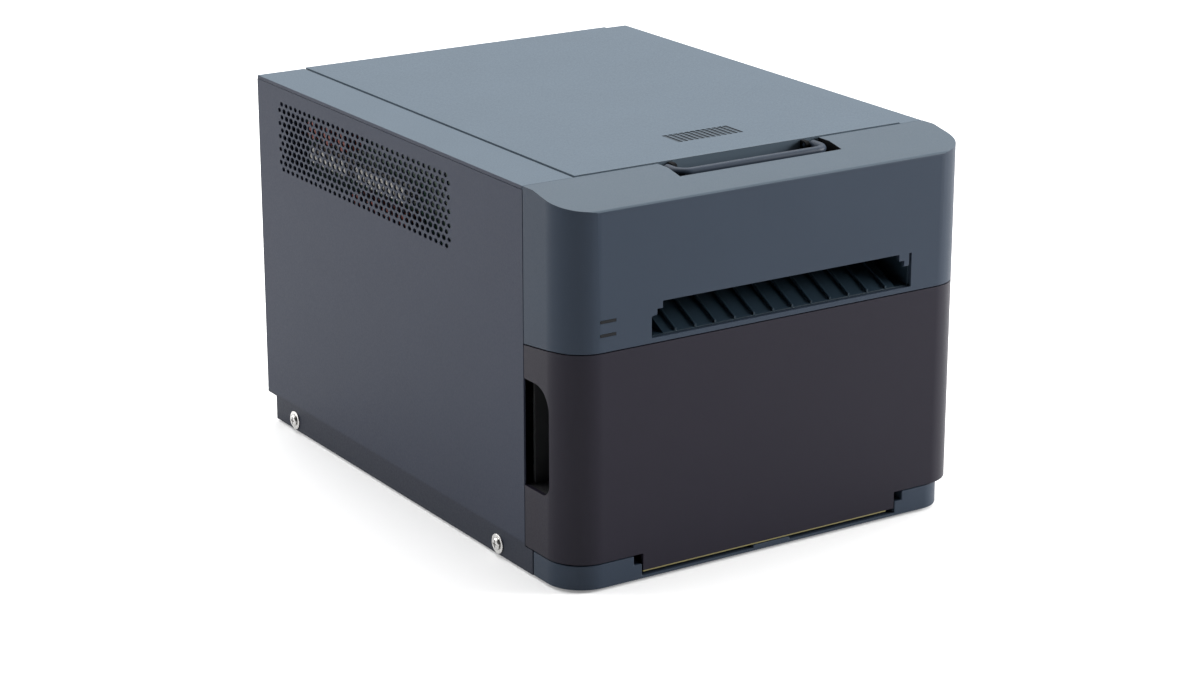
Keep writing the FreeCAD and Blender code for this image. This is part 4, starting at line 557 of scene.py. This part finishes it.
class PRINTER_OT_finishes(PieceOperator):
    """Make every finish and lay it on the frame's own solids."""
    bl_idname = "printer.finishes"
    bl_label = "Finishes"

    def execute(self, context):
        FINISHES.update(make_finishes())
        for finish, names in FINISH_OF.items():
            for name in names.split():
                solid = frame["nodes"][name]
                if not solid.material_slots:
                    solid.data.materials.append(FINISHES[finish])
                for held in solid.material_slots:
                    held.material = FINISHES[finish]
        return {"FINISHED"}


class PRINTER_OT_lid(PieceOperator):
    """The lid with its rounded edges, and the strips it lies between."""
    bl_idname = "printer.lid"
    bl_label = "Lid and strips"

    def execute(self, context):
        edge = sizes().lid_edge
        lid = softened("top_lid", "lid_shell", "lid", "top", edge)
        low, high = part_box("top_lid")
        lug_back = low[1] + 5.9 * MM
        side = high[0] - 2 * MM
        top = high[2]
        grip_half = 60 * MM

        def groove_floor(middle, normal):
            return top - 0.8 * MM < middle.z < top - 0.1 * MM and normal.z > 0.7

        def groove_wall(middle, normal):
            return (top - 0.6 * MM < middle.z < top - 0.05 * MM and abs(normal.z) < 0.7
                    and abs(middle.x) < grip_half)

        def lid_side(middle, normal):
            return abs(normal.x) > 0.3 and abs(middle.x) > side

        # The groove floors take the darker groove tone: painted shade.
        repainted(lid, "groove", groove_floor)
        # The lugs, the lid's sides and the groove walls are drawn near-black: painted shade.
        repainted(lid, "painted_shade", lambda middle, normal: middle.y < lug_back
                  or lid_side(middle, normal) or groove_wall(middle, normal))
        strips = softened("top_frame", "top_strips", "casing", "top", edge)
        outside = cad_box[1][0] - 3.5 * MM
        # The strips' inner walls along the lid's joint are drawn near-black: painted shade in the
        # joint.
        repainted(strips, "painted_shade",
                  lambda middle, normal: abs(normal.z) < 0.3 and abs(middle.x) < outside)
        repainted(strips, "coat",
                  lambda middle, normal: abs(normal.x) > 0.9 and abs(middle.x) > outside)
        return {"FINISHED"}


class PRINTER_OT_side_covers(PieceOperator):
    """The folded steel covers with their fields of oblong vent holes."""
    bl_idname = "printer.side_covers"
    bl_label = "Side covers"

    def execute(self, context):
        for side in ("left", "right"):
            cover = moulded_copy(f"{side}_side_cover", flat=0)
            self.stretch(cover)
            finished(cover, f"{side}_cover_sheet", "casing", "coat")
            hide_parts(f"{side}_side_cover")
        return {"FINISHED"}

    def stretch(self, piece):
        """Draw each vent hole out along the cover, about its own middle."""
        longest_hole = 6 * MM
        long, tall = sizes().vent_long, sizes().vent_long / sizes().vent_stretch
        shape = bmesh.new()
        shape.from_mesh(piece.data)
        walls = {face for face in shape.faces if abs(face.normal.x) < 0.5}
        while walls:
            hole, waiting = set(), [walls.pop()]
            while waiting:
                face = waiting.pop()
                hole.add(face)
                near = {other for edge in face.edges for other in edge.link_faces} & walls
                walls -= near
                waiting.extend(near)
            points = sorted({point for face in hole for point in face.verts},
                            key=lambda point: point.index)
            along = [point.co.y for point in points]
            if max(along) - min(along) > longest_hole:
                continue        # the sheet's own edge, not a hole
            middle = sum((point.co for point in points), Vector()) / len(points)
            for point in points:
                point.co.y = middle.y + (point.co.y - middle.y) * long
                point.co.z = middle.z + (point.co.z - middle.z) * tall
        shape.to_mesh(piece.data)
        shape.free()


class PRINTER_OT_front(PieceOperator):
    """The upper front cover with the print exit, the ramp behind it and the pull bar's well."""
    bl_idname = "printer.front"
    bl_label = "Upper front cover"

    def execute(self, context):
        cover = softened("upper_front_cover", "front_cover_shell", "casing",
                         "front", sizes().edge, before=self.sill)
        low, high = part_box("upper_front_cover")
        well_low, well_high = self.well()
        ledge, rear, foot = high[2] - 12 * MM, high[1] - 1 * MM, low[2] + 1.5 * MM

        def in_well(middle):
            return all(well_low[i] < middle[i] < well_high[i] for i in range(3))

        # The cover's upward-facing top is drawn lighter: painted light from above.
        repainted(cover, "ledge", lambda middle, normal: middle.z > ledge and normal.z > 0.6)
        # The well, the cover's back and the underside of its foot are drawn near-black: painted shade.
        repainted(cover, "painted_shade", lambda middle, normal: in_well(middle)
                  or (middle.y > rear and normal.y > 0.7)
                  or (middle.z < foot and normal.z < -0.3))
        softened("exit_chute", "exit_ramp", "casing", "ramp", 0.3 * MM)
        return {"FINISHED"}

    def well(self):
        """The space where shade is painted near-black: the pull bar's well with its walls, and the
        cover behind it.
        """
        wall, above, behind = 4 * MM, 1 * MM, 24 * MM
        box = next(room["box_m"] for room in frame["record"]["physics"]["openings"]
                   if room["name"] == "handle_well")
        low = [near - wall for near in box[0]]
        high = [box[1][0] + wall, box[1][1] + behind, box[1][2] + above]
        return low, high

    def sill(self, piece):
        """Chamfer the lower edge of the exit, the second edge up on the front face."""
        level, slot_half = 0.02 * MM, 100 * MM
        bpy.ops.object.mode_set(mode="EDIT")
        bpy.ops.mesh.select_mode(type="EDGE")
        bpy.ops.mesh.select_all(action="DESELECT")
        shape = bmesh.from_edit_mesh(piece.data)
        front = min(point.co.y for point in shape.verts) + 0.01 * MM
        on_face = [point for point in shape.verts
                   if point.co.y < front and abs(point.co.x) < slot_half]
        sill = sorted({round(point.co.z, 5) for point in on_face})[1]
        for edge in shape.edges:
            if all(point in on_face and abs(point.co.z - sill) < level for point in edge.verts):
                edge.select = True
        bmesh.update_edit_mesh(piece.data)
        bpy.ops.mesh.bevel(offset=sizes().sill, offset_type="OFFSET", segments=2, affect="EDGES")
        bpy.ops.object.mode_set(mode="OBJECT")


class PRINTER_OT_drawer(PieceOperator):
    """The drawer's front with its finger recesses."""
    bl_idname = "printer.drawer"
    bl_label = "Drawer front"

    def execute(self, context):
        softened("drawer_front", "drawer_front_shell", "drawer", "drawer",
                 sizes().edge)
        return {"FINISHED"}


class PRINTER_OT_base(PieceOperator):
    """The moulded front of the base."""
    bl_idname = "printer.base"
    bl_label = "Base front"

    def execute(self, context):
        softened("front_base", "base_front_shell", "casing", "front",
                 sizes().edge)
        return {"FINISHED"}


class PRINTER_OT_pull_bar(PieceOperator):
    """The bent pull bar, swept round its two bends, and the pins that it turns on."""
    bl_idname = "printer.pull_bar"
    bl_label = "Pull bar"

    def execute(self, context):
        low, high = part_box("lid_handle")
        radius = (high[2] - low[2]) / 2
        inset = Vector((radius, radius, radius))
        low, high = Vector(low) + inset, Vector(high) - inset
        bar = self.swept(self.path(low, high), radius)
        rounded(bar, 0.9 * MM, 3)
        pins = [self.pin(Vector((x, high.y, low.z)), way)
                for x, way in ((low.x, 1), (high.x, -1))]
        bar = merged([bar, *pins])
        finished(bar, "pull_bar", "handle", "front")
        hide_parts("lid_handle")
        return {"FINISHED"}

    def path(self, low, high):
        """The bar's middle line: from the left end forward, across, and back on the right."""
        bend, steps = sizes().bar_bend, 8
        path = [Vector((low.x, high.y, low.z))]
        for x, turn in ((low.x, 1), (high.x, -1)):
            middle = Vector((x + turn * bend, low.y + bend, low.z))
            for step in range(steps + 1)[::turn]:
                angle = math.pi / 2 * step / steps
                path.append(middle
                            + bend * Vector((-turn * math.cos(angle), -math.sin(angle), 0)))
        path.append(Vector((high.x, high.y, low.z)))
        return path

    def swept(self, path, radius):
        """A round bar along a level path, its section turned square to each run."""
        bar = primitive("circle", vertices=24, radius=radius, fill_type="NGON",
                        location=path[0], rotation=(math.pi / 2, 0, 0))
        settled(bar)
        bpy.ops.object.mode_set(mode="EDIT")
        bpy.ops.mesh.select_all(action="SELECT")
        heading = Vector((0, -1, 0))
        for i in range(1, len(path)):
            run = path[i] - path[i - 1]
            bpy.ops.mesh.extrude_region_move(TRANSFORM_OT_translate={"value": run})
            after = path[i + 1] - path[i] if i + 1 < len(path) else Vector((0, 1, 0))
            ahead = (run.normalized() + after.normalized()).normalized()
            swing = heading.to_2d().angle_signed(ahead.to_2d(), 0.0)
            if abs(swing) > 1e-5:
                shape = bmesh.from_edit_mesh(bar.data)
                section = [point for point in shape.verts if point.select]
                bmesh.ops.rotate(shape, verts=section, cent=path[i],
                                 matrix=Matrix.Rotation(-swing, 3, "Z"))
                bmesh.update_edit_mesh(bar.data)
            heading = ahead
        bpy.ops.mesh.select_all(action="SELECT")
        bpy.ops.mesh.normals_make_consistent(inside=False)
        bpy.ops.object.mode_set(mode="OBJECT")
        return bar

    def pin(self, end, way):
        """A pin that reaches inward from one end of the bar."""
        length = 6.2 * MM
        pin = primitive("cylinder", vertices=20, radius=1.2 * MM, depth=length,
                        rotation=(0, math.pi / 2, 0),
                        location=end + Vector((way * length / 2, 0, 0)))
        rounded(pin, 0.2 * MM, 2)
        return pin


class PRINTER_OT_screws(PieceOperator):
    """Pan-head screws with a cross recess, on their plain washers."""
    bl_idname = "printer.screws"
    bl_label = "Cover screws and washers"

    def execute(self, context):
        washer_low, washer_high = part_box("screw_washers")
        head_low, head_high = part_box("cover_screws")
        cover_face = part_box("left_side_cover")[0][0]
        seat = washer_low[0]
        washer_radius = (washer_high[2] - washer_low[2]) / 2 + sizes().washer_rim
        head_radius = (head_high[2] - head_low[2]) / 2
        z = (head_high[2] + head_low[2]) / 2
        rows = (head_low[1] + head_radius, head_high[1] - head_radius)
        head = self.head(head_radius, sizes().screw_dome)
        washer = self.washer(washer_radius, abs(cover_face - seat))
        for model, x, name, node_name in (
                (head, seat, "cross_recess_screws", "cover_screws"),
                (washer, cover_face, "plain_washers", "screw_washers")):
            group = [self.placed(model, side, Vector((side * abs(x), y, z)))
                     for side in (-1, 1) for y in rows]
            only(model)
            bpy.ops.object.delete()
            joined = merged(group)
            finished(joined, name, "casing", "bright")
            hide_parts(node_name)
        return {"FINISHED"}

    def placed(self, model, side, place):
        """A copy of a model that faces out of one side of the casing."""
        copy = copied(model)
        copy.rotation_euler = (0, side * math.pi / 2, 0)
        copy.location = place
        return copy

    def head(self, radius, dome):
        """A pan head standing on the origin along Z, with its shank below."""
        shank_radius, shank_length, shank_middle = 1.5 * MM, 6 * MM, -2.9 * MM
        slot_long, slot_wide = radius * 1.25, 0.8 * MM
        head = primitive("cylinder", vertices=36, radius=radius, depth=dome,
                         location=(0, 0, dome / 2))
        settled(head)
        rounded(head, dome * 0.72, 6)
        shank = primitive("cylinder", vertices=24, radius=shank_radius, depth=shank_length,
                          location=(0, 0, shank_middle))
        for length, width in ((slot_long, slot_wide), (slot_wide, slot_long)):
            cut(head, primitive("cube", size=1, location=(0, 0, dome),
                                scale=(length, width, dome * 1.3)))
        return merged([head, shank])

    def washer(self, radius, thick):
        """A stamped washer with slightly rounded rims, lying on the origin along Z."""
        washer = primitive("cylinder", vertices=40, radius=radius, depth=thick,
                           location=(0, 0, thick / 2))
        settled(washer)
        cut(washer, primitive("cylinder", vertices=32, radius=2 * MM, depth=thick * 3))
        rounded(washer, thick * 0.28, 2)
        return washer


class PRINTER_OT_stage(PieceOperator):
    """A pale floor, soft light from above and both sides, and the camera."""
    bl_idname = "printer.stage"
    bl_label = "Studio"

    # Each lamp's name, place, width in metres and power in watts.
    LAMPS = (("overhead_softbox", (0.1, 0.5, 1.6), 1.4, 9.0),
             ("left_softbox", (-2.6, 2.2, 1.0), 1.6, 70.0),
             ("right_softbox", (3.2, -1.7, 1.2), 1.6, 240.0))

    def execute(self, context):
        low, high = (Vector(corner) for corner in cad_box)
        middle = (low + high) / 2
        self.floor(low.z)
        self.world(context)
        for name, where, width, power in self.LAMPS:
            bpy.ops.object.light_add(type="AREA", location=where)
            lamp = context.view_layer.objects.active
            lamp.name = name
            lamp.data.size = width
            lamp.data.energy = power
            aim = middle - Vector(where)
            lamp.rotation_euler = aim.to_track_quat("-Z", "Y").to_euler()
        self.camera(context, middle)
        return {"FINISHED"}

    def floor(self, height):
        """A pale floor that glows a little, so that the printer's shadow on it stays light."""
        floor = primitive("plane", size=14.0, location=(0, 0, height))
        floor.name = "studio_floor"
        made, _, shader, _ = new_material("matt studio floor", 0.85)
        pale = linear(colours().floor)
        for socket, value in (("Base Color", pale), ("Emission Color", pale),
                              ("Emission Strength", 0.3)):
            shader.inputs[socket].default_value = value
        floor.data.materials.append(made)

    def world(self, context):
        """A bright ceiling over dim walls, darkest on the side that the camera stands on."""
        setting = sizes()
        to_camera = (math.sin(setting.camera_azimuth), -math.cos(setting.camera_azimuth), 0.0)
        world = bpy.data.worlds.new("studio_air")
        world.use_nodes = True
        tree = world.node_tree
        sky = tree.nodes["Background"]
        sky.inputs["Color"].default_value = (1.0, 1.0, 1.0, 1.0)
        place = add(tree, "ShaderNodeTexCoord").outputs["Generated"]
        split = add(tree, "ShaderNodeSeparateXYZ", None, {"Vector": place})
        height = add(tree, "ShaderNodeMapRange",
                     {"From Min": 0.15, "From Max": 0.85, "To Min": setting.walls,
                      "To Max": setting.ceiling, "interpolation_type": "SMOOTHSTEP"},
                     {"Value": split.outputs["Z"]})
        toward = add(tree, "ShaderNodeVectorMath", {"operation": "DOT_PRODUCT", 1: to_camera},
                     {0: place})
        dark = add(tree, "ShaderNodeMapRange",
                   {"From Min": -0.5, "From Max": 0.45, "To Min": 1.0,
                    "To Max": setting.dark_side, "interpolation_type": "SMOOTHSTEP"},
                   {"Value": toward.outputs["Value"]})
        level = add(tree, "ShaderNodeMath", {"operation": "MULTIPLY"},
                    {0: height.outputs["Result"], 1: dark.outputs["Result"]})
        tree.links.new(level.outputs[0], sky.inputs["Strength"])
        context.scene.world = world
        context.scene.view_settings.view_transform = "Standard"

    def camera(self, context, middle):
        """The camera at its angle, aimed a little below the middle of the printer."""
        setting = sizes()
        reach = math.cos(setting.camera_elevation) * setting.camera_distance
        where = middle + Vector((math.sin(setting.camera_azimuth) * reach,
                                 -math.cos(setting.camera_azimuth) * reach,
                                 math.sin(setting.camera_elevation) * setting.camera_distance))
        bpy.ops.object.camera_add(location=where)
        camera = context.view_layer.objects.active
        camera.name = "product_camera"
        camera.data.lens = setting.camera_lens
        camera.data.sensor_width = 36.0
        aim = middle - Vector((0, 0, setting.camera_drop))
        camera.rotation_euler = (aim - where).to_track_quat("-Z", "Y").to_euler()
        context.scene.camera = camera


class PRINTER_PT_panel(bpy.types.Panel):
    """Lists the sizes, the colours and the steps."""
    bl_label = "Photo Printer"
    bl_idname = "PRINTER_PT_panel"
    bl_space_type = "VIEW_3D"
    bl_region_type = "UI"
    bl_category = "Photo Printer"

    def draw(self, context):
        layout = self.layout
        for settings in (context.scene.printer_sizes, context.scene.printer_colours):
            for name in settings.__annotations__:
                layout.prop(settings, name)
        for step in STEPS:
            layout.operator(step.bl_idname)


STEPS = (PRINTER_OT_stage, PRINTER_OT_finishes, PRINTER_OT_lid, PRINTER_OT_side_covers,
         PRINTER_OT_front, PRINTER_OT_drawer, PRINTER_OT_base, PRINTER_OT_pull_bar,
         PRINTER_OT_screws)
CLASSES = (PrinterSizes, PrinterColours, *STEPS, PRINTER_PT_panel)


def register():
    """Register the classes and give the scene its settings."""
    for one in CLASSES:
        bpy.utils.register_class(one)
    bpy.types.Scene.printer_sizes = PointerProperty(type=PrinterSizes)
    bpy.types.Scene.printer_colours = PointerProperty(type=PrinterColours)


def unregister():
    """Take the settings and the classes away again."""
    del bpy.types.Scene.printer_colours
    del bpy.types.Scene.printer_sizes
    for one in reversed(CLASSES):
        bpy.utils.unregister_class(one)


def main():
    """Register, and run every step in order."""
    register()
    for step in STEPS:
        group, name = step.bl_idname.split(".")
        getattr(getattr(bpy.ops, group), name)()


if __name__ == "__main__":
    main()
